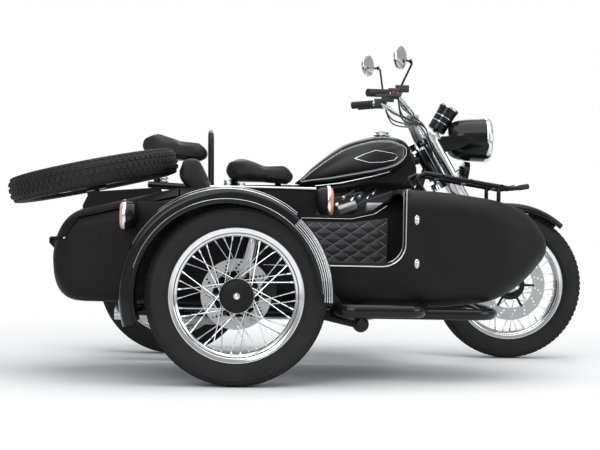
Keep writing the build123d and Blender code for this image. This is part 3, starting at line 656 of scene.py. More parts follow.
def rounded(points: Sequence[Vector], bend: float, steps: int = 8) -> list[Vector]:
    """Round the corners of a line of places.

    Args:
        points: The corners in order.
        bend: The rounding in metres.
        steps: How many straight runs each rounding has.

    Returns:
        The finer line.
    """
    line = [points[0]]
    for before, corner, after in zip(points, points[1:], points[2:]):
        arrive = (corner - before).normalized()
        leave = (after - corner).normalized()
        turn = arrive.angle(leave)
        if turn < 0.03:
            continue
        room = 0.48 * min((corner - before).length, (after - corner).length)
        reach = min(bend * math.tan(turn / 2), room)
        inward = reach / math.tan(turn / 2) / math.cos(turn / 2)
        centre = corner + (leave - arrive).normalized() * inward
        spoke = corner - arrive * reach - centre
        axis = arrive.cross(leave).normalized()
        for step in range(steps + 1):
            line.append(centre + Matrix.Rotation(turn * step / steps, 3, axis) @ spoke)
    line.append(points[-1])
    return line


def pipe(name: str, corners: Sequence[Point], radius: float, bend: float = 40.0) -> bpy.types.Object:
    """Bend a round tube through corners given in the machine's millimetres.

    Args:
        name: The new object's name.
        corners: Places ahead of, left of and above the sidecar wheel's foot.
        radius: The tube's radius in millimetres.
        bend: The rounding of its corners in millimetres.

    Returns:
        The tube.
    """
    line = rounded([place(*corner) for corner in corners], bend / 1000)
    return bar(name, line, radius / 1000, 5)


def round_bar(
    name: str, start: Point, end: Point, radius: float, edge: float = 1.0
) -> bpy.types.Object:
    """Turn a straight bar with softened ends between two places in millimetres.

    Args:
        name: The new object's name.
        start: One end.
        end: The other end.
        radius: The radius in millimetres.
        edge: The rounding of its two rims in millimetres.

    Returns:
        The bar.
    """
    foot = place(*start)
    run = place(*end) - foot
    long = run.length * 1000
    soft = min(edge, radius * 0.4, long * 0.3)
    profile = (
        (0, 0), (0, radius - soft), (soft * 0.3, radius - soft * 0.3), (soft, radius),
        (long - soft, radius), (long - soft * 0.3, radius - soft * 0.3),
        (long, radius - soft), (long, 0),
    )
    return lathe(name, profile, foot, run, 40)


def cross_bar(
    name: str, ahead: float, left: float, half: float, up: float, radius: float
) -> bpy.types.Object:
    """Set a round bar straight across the machine, as long as twice the half."""
    return round_bar(name, (ahead, left - half, up), (ahead, left + half, up), radius)


def plate(
    name: str, corners: Profile, left: float, width: float, edge: float = 0.0008
) -> bpy.types.Object:
    """Cut a plate to a side outline of (ahead, up) corners, centred on one plane.

    Args:
        name: The new object's name.
        corners: The outline.
        left: The plate's middle plane in millimetres.
        width: Its thickness in millimetres.
        edge: The rounding of its edges in metres.

    Returns:
        The plate.
    """
    clear_selection()
    bpy.ops.mesh.primitive_circle_add(vertices=len(corners), radius=1.0, fill_type="NGON")
    piece = bpy.context.object
    piece.name = name
    for vertex, (ahead, up) in zip(piece.data.vertices, corners):
        vertex.co = place(ahead, left - width / 2, up)
    piece.location = (0.0, 0.0, 0.0)
    with editing(piece):
        bpy.ops.mesh.extrude_region_move(
            TRANSFORM_OT_translate={"value": (0.0, width / 1000, 0.0)}
        )
    tidy_mesh(piece)
    if edge > 0.0:
        apply_bevel(piece, edge)
    return piece


def join(pieces: Sequence[bpy.types.Object], name: str) -> bpy.types.Object:
    """Join pieces of one finish into one object.

    Args:
        pieces: The mesh objects.
        name: The joined object's name.

    Returns:
        The joined piece.
    """
    clear_selection()
    for piece in pieces:
        piece.select_set(True)
    bpy.context.view_layer.objects.active = pieces[0]
    if len(pieces) > 1:
        bpy.ops.object.join()
    joined = bpy.context.view_layer.objects.active
    joined.name = name
    return joined


def finish_group(
    parts: Sequence[bpy.types.Object],
    name: str,
    body: Body,
    finish: Finish,
    replaces: Iterable[str] = (),
    degrees: float = 35.0,
) -> bpy.types.Object:
    """Join parts of one finish and finish them as one piece, as finish_piece does."""
    return finish_piece(join(parts, name), name, body, finish, replaces, degrees)


def cut(piece: bpy.types.Object, tool: bpy.types.Object, operation: str = "DIFFERENCE") -> None:
    """Cut one piece with another, which is used up.

    Args:
        piece: The mesh that is cut.
        tool: The mesh that cuts.
        operation: The boolean operation.
    """
    apply_modifier(
        piece, "cut", "BOOLEAN", {"operation": operation, "object": tool, "solver": "EXACT"}
    )
    bpy.data.objects.remove(tool, do_unlink=True)


@dataclass
class DressedNode:
    """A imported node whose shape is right: a merged, softened and finished copy of it."""

    node: str
    body: Body
    finish: Finish
    edge: float = 0.0
    degrees: float = 35.0

    def build(self, frame: dict) -> bpy.types.Object:
        """Copy the node's mesh, soften its edges and dress it.


        Returns:
            The finished piece.
        """
        copy = copy_mesh(frame["nodes"][self.node], f"{self.node}_skin")
        with editing(copy):
            bpy.ops.mesh.remove_doubles(threshold=1e-5)
            bpy.ops.mesh.dissolve_limited(angle_limit=math.radians(0.4))
        if self.edge > 0.0:
            apply_bevel(copy, self.edge)
        return finish_piece(
            copy, f"{self.node}_skin", self.body, self.finish, (self.node,), self.degrees
        )


@dataclass
class Tyre:
    """One tyre: carcass with sidewall rings and five rows of tread blocks."""

    node: str
    body: Body
    centre: Vector
    axle: Vector
    finish: Finish = TYRE_RUBBER
    blocks: int = 84
    block_height: float = 5.2
    carcass: Profile = (
        (-28.8, 229.0), (-30.4, 236), (-31.5, 244), (-35, 249.5), (-41, 254.5), (-44.6, 259.5),
        (-45.8, 260), (-46.4, 262), (-46.2, 264), (-48.2, 270), (-50.0, 278), (-50.6, 287),
        (-50.0, 296), (-48.6, 303), (-48.9, 304.2), (-47.6, 307.5), (-46.3, 308), (-43.0, 314),
        (-37.5, 319.2), (-29, 322.4), (-15, 324.6), (0, 325.2), (15, 324.6), (29, 322.4),
        (37.5, 319.2), (43.0, 314), (46.3, 308), (47.6, 307.5), (48.9, 304.2), (48.6, 303),
        (50.0, 296), (50.6, 287), (50.0, 278), (48.2, 270), (46.2, 264), (46.4, 262),
        (45.8, 260), (44.6, 259.5), (41, 254.5), (35, 249.5), (31.5, 244), (30.4, 236),
        (28.8, 229.0), (0, 228.8),
    )
    # Each row holds a block's place along the axle, radius, width, lean and share of a pitch.
    rows: tuple[tuple[float, float, float, float, float], ...] = (
        (-40.5, 313.2, 9.5, 46.0, 0.5), (-23.0, 323.0, 14.0, 12.0, 0.0),
        (0.0, 325.0, 17.0, 0.0, 0.5), (23.0, 323.0, 14.0, -12.0, 0.0),
        (40.5, 313.2, 9.5, -46.0, 0.5),
    )

    def build(self) -> bpy.types.Object:
        """Turn the carcass, set the blocks on it and dress the tyre.

        Returns:
            The finished tyre.
        """
        carcass = lathe(f"{self.node}_carcass", self.carcass, self.centre, self.axle, 128)
        tread = self._tread()
        return finish_group(
            [carcass, tread], f"{self.node}_dressed", self.body, self.finish, (self.node,), 32
        )

    def _tread(self) -> bpy.types.Object:
        """Model one pitch of five blocks and repeat it round the tyre.

        Returns:
            All the tread blocks as one mesh.
        """
        run = self.axle.normalized()
        side = run.orthogonal().normalized()
        pitch = math.tau / self.blocks
        blocks = []
        for along, radius, width, tilt, shift in self.rows:
            clear_selection()
            bpy.ops.mesh.primitive_cube_add(size=1.0)
            block = bpy.context.object
            length = pitch * radius * 0.66
            tall = self.block_height + (3.0 if abs(tilt) > 20 else 1.6)
            out = Matrix.Rotation(pitch * shift, 3, run) @ side
            lean = math.radians(tilt)
            up = (out * math.cos(lean) - run * math.sin(lean)).normalized()
            wide = up.cross(out.cross(run)).normalized()
            long = up.cross(wide).normalized()
            base = self.centre + run * (along / 1000) + out * (radius / 1000)
            top = self.block_height / 1000
            for vertex in block.data.vertices:
                high = vertex.co.z > 0
                taper = 0.86 if high else 1.0
                vertex.co = (
                    base
                    + wide * (vertex.co.x * width * taper / 1000)
                    + long * (vertex.co.y * length * taper / 1000)
                    + up * ((top if high else top - tall / 1000))
                )
            blocks.append(block)
        tread = join(blocks, f"{self.node}_tread")
        tidy_mesh(tread)
        ring_copies(tread, self.centre, run, self.blocks)
        return tread


@dataclass
class WireWheel:
    """One wire wheel: rolled rim, flanged hub, forty crossed spokes with nipples."""

    node: str
    body: Body
    centre: Vector
    axle: Vector
    hub_half: float = 40.0
    spokes: int = 40
    sweep: float = 58.0
    flange_in: float = 5.0
    flange_radius: float = 50.5
    rim_left: float = 3.5
    rim_radius: float = 213.5
    rim: Profile = (
        (-29, 224.8), (-24, 224.6), (-19, 223), (-15, 216), (-12, 212.8), (0, 212.2), (12, 212.8),
        (15, 216), (19, 223), (24, 224.6), (29, 224.8), (31.5, 226), (33.4, 230), (34.2, 238),
        (35.8, 242.2), (35.4, 244.2), (33.4, 244.6), (31.8, 243), (30.4, 236), (29.4, 229.2),
        (27, 228.4), (17, 228.2), (12, 217), (0, 216.4), (-12, 217), (-17, 228.2), (-27, 228.4),
        (-29.4, 229.2), (-30.4, 236), (-31.8, 243), (-33.4, 244.6), (-35.4, 244.2),
        (-35.8, 242.2), (-34.2, 238), (-33.4, 230), (-31.5, 226),
    )

    def build(self) -> None:
        """Turn the rim and hub, lace the spokes and dress the wheel."""
        rim = lathe(f"{self.node}_rolled", self.rim, self.centre, self.axle, 144)
        hub = lathe(f"{self.node}_hub", self._hub_profile(), self.centre, self.axle, 64)
        spokes = self._spokes()
        finish_group(
            [rim, hub, spokes], f"{self.node}_dressed", self.body, WHEEL_CHROME, (self.node,), 40
        )

    def _hub_profile(self) -> Profile:
        """Give the hub's outline from its bore to its flanges.

        Returns:
            The (along, radius) corners.
        """
        end = self.hub_half
        return (
            (-end, 10.6), (-end, 38), (-end + 1.5, 40), (-end + 2, 55), (-end + 4, 56.5),
            (-end + 7, 56.5), (-end + 9, 54), (-end + 11, 42), (-end + 16, 36), (0, 33),
            (end - 16, 36), (end - 11, 42), (end - 9, 54), (end - 7, 56.5), (end - 4, 56.5),
            (end - 2, 55), (end - 1.5, 40), (end, 38), (end, 10.6),
        )

    def _spokes(self) -> bpy.types.Object:
        """Lace four spokes with their nipples and repeat them round the hub.

        Returns:
            All spokes as one mesh.
        """
        run = self.axle.normalized()
        side = run.orthogonal().normalized()
        groups = self.spokes // 4
        pitch = math.tau / groups
        made = []
        for index, (flange, sweep) in enumerate(((1, 1), (-1, 1), (1, -1), (-1, -1))):
            turn = pitch * (index + 0.5) / 4
            root_turn = turn + math.radians(self.sweep) * sweep
            root_way = Matrix.Rotation(root_turn, 3, run) @ side
            head_way = Matrix.Rotation(turn, 3, run) @ side
            side_way = run * (flange * (self.hub_half - self.flange_in) / 1000)
            root = self.centre + side_way + root_way * (self.flange_radius / 1000)
            side_way = run * (flange * self.rim_left / 1000)
            head = self.centre + side_way + head_way * (self.rim_radius / 1000)
            made.append(bar(f"{self.node}_spoke_{index}", (root, head), 0.0019, 1))
            tip = root + (head - root) * 0.925
            made.append(bar(f"{self.node}_nipple_{index}", (tip, head), 0.0034, 1))
        laced = join(made, f"{self.node}_spokes")
        ring_copies(laced, self.centre, run, groups)
        return laced


def between(line: Profile, ahead: float) -> float:
    """Read a smooth curve through (ahead, value) corners at one place.

    Args:
        line: The corners, in order of their first numbers.
        ahead: Where the curve is read.

    Returns:
        The curve's value there.
    """
    if ahead <= line[0][0]:
        return line[0][1]
    for index, ((start, first), (end, last)) in enumerate(zip(line, line[1:])):
        if ahead <= end:
            before = line[max(0, index - 1)]
            after = line[min(len(line) - 1, index + 2)]
            span = end - start
            lead = (last - before[1]) / (end - before[0]) * span
            trail = (after[1] - first) / (after[0] - start) * span
            chord = last - first
            if chord * lead <= 0:
                lead = 0.0
            if chord * trail <= 0:
                trail = 0.0
            limit = 3 * abs(chord)
            lead = max(-limit, min(limit, lead))
            trail = max(-limit, min(limit, trail))
            t = (ahead - start) / span
            return (
                (2 * t**3 - 3 * t**2 + 1) * first + (t**3 - 2 * t**2 + t) * lead
                + (3 * t**2 - 2 * t**3) * last + (t**3 - t**2) * trail
            )
    return line[-1][1]


@dataclass
class PaddedPart:
    """A stuffed leather pad: its solid drawn in, remeshed and blown up as cloth."""

    node: str
    inset: float = 0.006
    cap: float = 0.012
    voxel: float = 0.007
    fill: float = 0.7
    steps: int = 20
    finish: Finish = LEATHER

    def build(self, frame: dict) -> bpy.types.Object:
        """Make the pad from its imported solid.


        Returns:
            The finished pad.
        """
        pad = copy_mesh(frame["nodes"][self.node], f"{self.node}_pad")
        apply_modifier(pad, "voxels", "REMESH", {"mode": "VOXEL", "voxel_size": self.voxel})
        apply_modifier(pad, "soften", "SMOOTH", {"factor": 0.6, "iterations": 10})
        with editing(pad):
            bpy.ops.transform.shrink_fatten(value=-self.inset * 0.3)
        self._blow_up(pad)
        apply_modifier(pad, "finer", "SUBSURF", {"levels": 1, "render_levels": 1})
        finish_piece(pad, pad.name, Body.MACHINE, self.finish, (self.node,), 60)
        return pad

    def _blow_up(self, pad: bpy.types.Object) -> None:
        """Swell the pad with cloth under pressure and limit how far it moves.

        Args:
            pad: The remeshed pad.
        """
        rest = [vertex.co.copy() for vertex in pad.data.vertices]
        cloth = pad.modifiers.new("cloth", "CLOTH")
        cloth.settings.use_pressure = True
        cloth.settings.uniform_pressure_force = 4.0
        cloth.settings.quality = 4
        cloth.settings.effector_weights.gravity = 0.0
        cloth.point_cache.frame_start = 1
        cloth.point_cache.frame_end = self.steps
        for number in range(1, self.steps + 1):
            bpy.context.scene.frame_set(number)
        pick(pad)
        bpy.ops.object.modifier_apply(modifier=cloth.name)
        bpy.context.scene.frame_set(1)
        for vertex, start in zip(pad.data.vertices, rest):
            move = vertex.co - start
            if move.length > self.cap:
                vertex.co = start + move.normalized() * self.cap


@dataclass
class Fender:
    """A pressed steel mudguard with a rolled rim and pressed ridges."""

    node: str
    body: Body
    centre: Vector
    section: Profile
    ahead_arc: float
    behind_arc: float
    ridges: Profile = ()
    thickness: float = 3.0
    rim: float = 3.2
    bead_inset: float = 0.6

    def build(self) -> bpy.types.Object:
        """Sweep the section over the wheel and add the ridges and the rim.

        Returns:
            The finished mudguard.
        """
        parts = [self._shell()]
        for number, (left, radius) in enumerate(self.ridges):
            parts.append(self._bead(f"ridge_{number}", left, radius, 1.7))
        for left, radius in (self.section[0], self.section[-1]):
            parts.append(self._bead("rim", left, radius, self.rim))
        return finish_group(
            parts, f"{self.node}_pressed", self.body, GLOSS_BLACK, (self.node,), 50
        )

    def _shell(self) -> bpy.types.Object:
        """Sweep the pressed sheet, thick inward.

        Returns:
            The sheet as a closed mesh.
        """
        sweep = self.ahead_arc + self.behind_arc
        outer = list(self.section)
        inner = [(left * 0.965, radius - self.thickness) for left, radius in reversed(outer)]
        ring = outer + inner
        count = len(ring)

        def shape(u: float, v: float) -> Vector:
            """Find a place on the sheet, round its section by u and along it by v."""
            left, radius = ring[round(u * count) % count]
            return on_ring(self.centre, sweep * v - self.ahead_arc, left, radius)

        shell = grid(f"{self.node}_sheet", count, 72, shape)
        close_ends(shell)
        return shell

    def _bead(self, name: str, left: float, radius: float, thick: float) -> bpy.types.Object:
        """Run a round bead along the mudguard.

        Args:
            name: The bead's name.
            left: Distance from the middle plane in millimetres.
            radius: Distance from the centre in millimetres.
            thick: The bead's radius in millimetres.

        Returns:
            The bead.
        """
        start = self.bead_inset - self.ahead_arc
        sweep = self.ahead_arc + self.behind_arc - 2 * self.bead_inset
        spots = [
            on_ring(self.centre, start + sweep * step / 60, left, radius) for step in range(61)
        ]
        return bar(f"{self.node}_{name}", spots, thick / 1000, 2)


def bulge(value: float, power: float) -> float:
    """Raise a number's size to a power and keep its sign."""
    return math.copysign(abs(value) ** power, value)


def arc_section(half: float, rim: float, shoulder: float, top: float) -> list[tuple[float, float]]:
    """Draw a mudguard's section: upright sides, round shoulders and a crown.

    Args:
        half: Half the width in millimetres.
        rim: The rim's distance from the centre.
        shoulder: Where the side starts to bend over.
        top: The crown's distance from the centre.

    Returns:
        The (left, radius) corners from one rim to the other.
    """
    side = [(-half, rim), (-half, (rim + shoulder) / 2), (-half, shoulder)]
    crown = []
    for step in range(1, 18):
        angle = math.pi * step / 18
        squeeze = bulge(math.cos(angle), 0.75)
        crown.append((-half * squeeze, shoulder + (top - shoulder) * math.sin(angle) ** 0.75))
    return side + crown + [(half, shoulder), (half, (rim + shoulder) / 2), (half, rim)]


@dataclass
class FuelTank:
    """The teardrop tank with satin knee panels and a pinstripe round each."""

    top: Profile = (
        (268, 770), (300, 800), (345, 846), (465, 937), (570, 974), (667, 986), (735, 972),
        (762, 950), (774, 925),
    )
    low: Profile = (
        (268, 762), (300, 757), (414, 758), (600, 790), (700, 816), (735, 842), (762, 884),
        (774, 915),
    )
    half: Profile = (
        (268, 24), (300, 62), (400, 104), (560, 140), (660, 144), (730, 124), (762, 96),
        (774, 70),
    )
    panel: tuple[float, float, float, float] = (0.13, 0.86, -0.105, 0.150)
    tall_power: float = 0.8
    wide_power: float = 0.72

    def build(self) -> None:
        """Loft the tank, lay on the knee panels and trace their pinstripes."""
        tank = grid("tank_form", 96, 96, lambda u, v: self._skin(u, v, 0.0))
        finish_piece(tank, "fuel_tank_form", Body.MACHINE, GLOSS_BLACK, ("fuel_tank",), 60)
        panels = []
        stripes = []
        for side in SIDES:
            panels.append(grid(f"knee_{side}", 40, 24, lambda u, v: self._knee(side, u, v, 0.9)))
            for grow, thick in ((0.0, 1.9), (-0.05, 0.6)):
                border = [
                    self._knee(side, *self._round(step / 120, grow), 1.2) for step in range(121)
                ]
                stripes.append(bar(f"stripe_{side}", border, thick / 1000, 1, caps=False))
        finish_group(panels, "tank_knee_panels", Body.MACHINE, TANK_PANEL)
        finish_group(stripes, "tank_pinstripes", Body.MACHINE, PIN_STRIPE)

    def _skin(self, u: float, v: float, proud: float) -> Vector:
        """Find a place on the tank.

        Args:
            u: How far round, from 0 to 1.
            v: How far from the tail to the nose, from 0 to 1.
            proud: How far out of the surface in millimetres.

        Returns:
            The place in the shared frame.
        """
        ahead = 268 + 506 * (0.5 - 0.5 * math.cos(math.pi * v))
        high = between(self.top, ahead)
        low = between(self.low, ahead)
        half = between(self.half, ahead)
        angle = math.tau * u
        up_way = bulge(math.sin(angle), self.tall_power)
        side_way = bulge(math.cos(angle), self.wide_power)
        middle = (high + low) / 2 - 0.10 * (high - low)
        rise_up = high - middle if up_way > 0 else middle - low
        return place(
            ahead,
            BIKE_LEFT + (half + proud) * side_way,
            middle + (rise_up + proud) * up_way,
        )

    def side_at(self, ahead: float, up: float, proud: float) -> float:
        """Find how far the tank's side stands from its middle plane.

        Args:
            ahead: The place along the tank.
            up: The height.
            proud: How far out of the surface in millimetres.

        Returns:
            The distance in millimetres.
        """
        high = between(self.top, ahead)
        low = between(self.low, ahead)
        middle = (high + low) / 2 - 0.10 * (high - low)
        rise = high - middle if up > middle else middle - low
        lift = min(1.0, abs(up - middle) / rise) ** (1 / self.tall_power)
        return between(self.half, ahead) * math.sqrt(1 - lift * lift) ** self.wide_power + proud

    def _round(self, turn: float, grow: float) -> tuple[float, float]:
        """Walk round the knee panel's teardrop outline.

        Args:
            turn: How far round, from 0 to 1.
            grow: How much larger than the panel.

        Returns:
            The panel's own two fractions.
        """
        angle = math.tau * turn
        return (
            0.5 + (0.5 + grow) * bulge(math.cos(angle), 0.6),
            0.5 + (0.5 + grow) * bulge(math.sin(angle), 0.6),
        )

    def _knee(self, side: int, u: float, v: float, proud: float) -> Vector:
        """Find a place on one knee panel, whose corners are drawn in round.

        Args:
            side: Minus one for the right side, one for the left.
            u: How far along the panel.
            v: How far up the panel.
            proud: How far out of the tank in millimetres.

        Returns:
            The place in the shared frame.
        """
        tail, nose, low, high = self.panel
        x = 2 * u - 1
        y = 2 * v - 1
        x_in = x * math.sqrt(max(0.0, 1 - 0.30 * y * y))
        y_in = y * math.sqrt(max(0.0, 1 - 0.42 * x * x))
        along = tail + (nose - tail) * (0.5 + 0.5 * x_in)
        narrow = 0.55 + 0.45 * along
        round_way = (low + high) / 2 + (high - low) * narrow * 0.5 * y_in
        turn = round_way if side > 0 else 0.5 - round_way
        return self._skin(turn % 1.0, along, proud)


@dataclass
class QuiltedPanel:
    """The cockpit's far side lining: sewn diamonds between a seam and a smooth end."""

    left: float = 659.0
    first: float = 152.0
    last: float = 628.0
    low: float = 386.0
    high: float = 608.0
    long_step: float = 73.0
    tall_step: float = 48.0
    puff: float = 6.0
    thickness: float = 0.009
    back: float = 671.0

    def build(self) -> None:
        """Press the diamonds into the lining and sew them with pale thread."""
        lining = grid("lining_front", 190, 96, self._front)
        apply_modifier(
            lining, "thickness", "SOLIDIFY", {"thickness": self.thickness, "offset": -1.0}
        )
        back = place(0, self.back, 0).y
        for vertex in lining.data.vertices:
            vertex.co.y = min(vertex.co.y, back)
        finish_piece(lining, "quilted_lining", Body.MACHINE, QUILT, ("inner_panel",), 60)
        threads = list(self._threads())
        finish_group(threads, "lining_thread", Body.MACHINE, PALE_THREAD)

    def _edge(self, ahead: float) -> float:
        """Give the lining's upper edge at one place."""
        if ahead < 480:
            return self.high - 10
        return self.high - 10 + (ahead - 480) * 0.14

    def _relief(self, ahead: float, up: float) -> float:
        """Give how far the quilting stands out at one place.

        Args:
            ahead: The place along the lining.
            up: Its height.

        Returns:
            The distance in millimetres.
        """
        a = (ahead / self.long_step + up / self.tall_step) % 1.0
        b = (ahead / self.long_step - up / self.tall_step) % 1.0
        valley = min(a, 1 - a, b, 1 - b) * 2
        return self.puff * math.sqrt(max(0.0, valley))

    def _front(self, u: float, v: float) -> Vector:
        """Find a place on the lining's face.

        Args:
            u: How far ahead, from 0 to 1.
            v: How far up, from 0 to 1.

        Returns:
            The place in the shared frame.
        """
        ahead = self.first + (self.last - self.first) * u
        up = self.low + (self._edge(ahead) - self.low) * v
        fade = min(1.0, 12 * min(u, 1 - u), 8 * min(v, 1 - v))
        return place(ahead, self.left + 2 - self._relief(ahead, up) * fade, up)

    def _threads(self) -> Iterable[bpy.types.Object]:
        """Sew short pale stitches along both families of diamond lines.

        Yields:
            Each line of stitches.
        """
        for slope in SIDES:
            first = (self.first / self.long_step) + slope * self.low / self.tall_step
            start = math.floor(first - 8)
            for number in range(start, start + 24):
                spots = []
                for step in range(0, 60):
                    up = self.low + 4 + (self.high + 8 - self.low) * step / 60
                    ahead = (number - slope * up / self.tall_step) * self.long_step
                    inside = self.first + 4 < ahead < self.last - 4
                    if inside and up < self._edge(ahead) - 4:
                        spots.append(place(ahead, self.left + 1.6, up))
                if len(spots) > 3:
                    yield bar(f"thread_{slope}_{number}", spots, 0.0011, 1)


@dataclass
class Headlamp:
    """The big round lamp: black shell, chrome rim, reflector, bulb and glass."""

    up: float = 977.0
    ear_reach: float = 97.0
    shell: Profile = (
        (948, 0), (949, 40), (953, 58), (962, 72), (978, 83), (1000, 90), (1030, 94.5),
        (1060, 96), (1090, 97), (1116, 97), (1116, 92), (1060, 91), (1005, 84), (975, 70),
        (962, 0),
    )
    ear: Profile = (
        (880, 930), (905, 985), (1020, 992), (1046, 984), (1050, 965), (1000, 940), (940, 918),
    )
    rim: Profile = (
        (1114, 97.5), (1118, 99), (1124, 99.2), (1132, 97.5), (1138, 93), (1141, 87), (1139, 84),
        (1134, 88), (1122, 93), (1114, 94),
    )
    bowl: Profile = (
        (1132, 88), (1122, 80), (1100, 62), (1078, 36), (1070, 10), (1068, 10), (1074, 38),
        (1098, 66), (1120, 84), (1130, 90),
    )
    bulb: Profile = ((1072, 0), (1072, 8), (1096, 8), (1104, 5), (1107, 0))
    glass: Profile = (
        (1138, 86), (1144, 66), (1149, 42), (1152, 20), (1153, 0), (1150, 0), (1149, 20),
        (1146, 42), (1141, 66), (1135, 86),
    )

    def build(self) -> None:
        """Turn the lamp's parts about its own axis and hold them by two ears."""
        body = [self._turn("lamp_shell", self.shell, 96)]
        for side in SIDES:
            ear = plate(f"lamp_ear_{side}", self.ear, BIKE_LEFT + side * self.ear_reach, 4)
            bolt = round_bar(
                f"lamp_bolt_{side}", (1030, BIKE_LEFT + side * (self.ear_reach + 6), self.up),
                (1030, BIKE_LEFT + side * (self.ear_reach - 9), self.up), 10, 2,
            )
            body += [ear, bolt]
        finish_group(body, "headlamp_body", Body.STEERING, GLOSS_BLACK, ("headlamp_shell",), 40)
        bright = [
            self._turn("lamp_rim", self.rim, 96),
            self._turn("lamp_bowl", self.bowl, 72),
            self._turn("lamp_bulb", self.bulb, 24),
        ]
        finish_group(bright, "headlamp_rim", Body.STEERING, CHROME, ("headlamp_glass",), 45)
        glass = self._turn("lamp_glass", self.glass, 72)
        finish_piece(glass, "headlamp_lens", Body.STEERING, CLEAR_GLASS, (), 60)

    def _turn(self, name: str, profile: Profile, steps: int) -> bpy.types.Object:
        """Turn one profile about the lamp's axis."""
        return lathe(name, profile, place(0, BIKE_LEFT, self.up), AHEAD, steps)


@dataclass
class SideLamps:
    """The sidecar's front and rear marker lamps in their housings."""

    left: float = 70.0
    housing: Profile = ((0, 0), (0, 34), (2, 42), (8, 47), (18, 50), (34, 50.5), (34, 0))
    ring: Profile = ((33, 52), (35, 57), (40, 58), (46, 57), (48, 52), (44, 50), (33, 50))
    lens: Profile = ((40, 0), (40, 51), (46, 51.5), (52, 50), (57, 44), (59, 0))

    def build(self) -> None:
        """Turn both lamps and split them into housing, ring and lens."""
        self._lamp("front", 292, 676, 1, SATIN_BLACK, LENS_AMBER, ("side_lamps",))
        self._lamp("rear", -370, 610, -1, GLOSS_BLACK, LENS_ROSE, ())

    def _lamp(
        self, name: str, ahead: float, up: float, way: int, shell: Finish, lens: Finish,
        nodes: tuple[str, ...],
    ) -> None:
        """Turn one lamp.

        Args:
            name: Which lamp it is.
            ahead: Where its back stands.
            up: Its height.
            way: One when it looks ahead, minus one when it looks back.
            shell: The housing's finish.
            lens: The lens ring's finish.
            nodes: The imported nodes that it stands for.
        """
        centre = place(ahead, self.left, up)
        for part, profile, finish, replaced, degrees in (
            ("housing", self.housing, shell, nodes, 40),
            ("ring", self.ring, LAMP_CHROME, (), 40),
            ("lens", self.lens, lens, (), 50),
        ):
            piece = lathe(f"{name}_{part}", profile, centre, AHEAD * way, 72)
            finish_piece(piece, f"marker_{name}_{part}", Body.MACHINE, finish, replaced, degrees)


def round_rectangle(half: float, tall: float, corner: float, turn: float) -> tuple[float, float]:
    """Walk round a rectangle with round corners.

    Args:
        half: Half its width.
        tall: Half its height.
        corner: Its corner radius.
        turn: How far round, from 0 to 1, starting at the middle of the right side.

    Returns:
        The (across, up) place.
    """
    quarter = (turn * 4) % 4
    index = int(quarter)
    part = quarter - index
    signs = ((1, 1), (-1, 1), (-1, -1), (1, -1))[index]
    if index in (1, 3):
        part = 1 - part
    if part < 0.2:
        across, up = half, (tall - corner) * part / 0.2
    elif part < 0.8:
        angle = math.pi / 2 * (part - 0.2) / 0.6
        across = half - corner + corner * math.cos(angle)
        up = tall - corner + corner * math.sin(angle)
    else:
        across, up = (half - corner) * (1 - part) / 0.2, tall
    return signs[0] * across, signs[1] * up


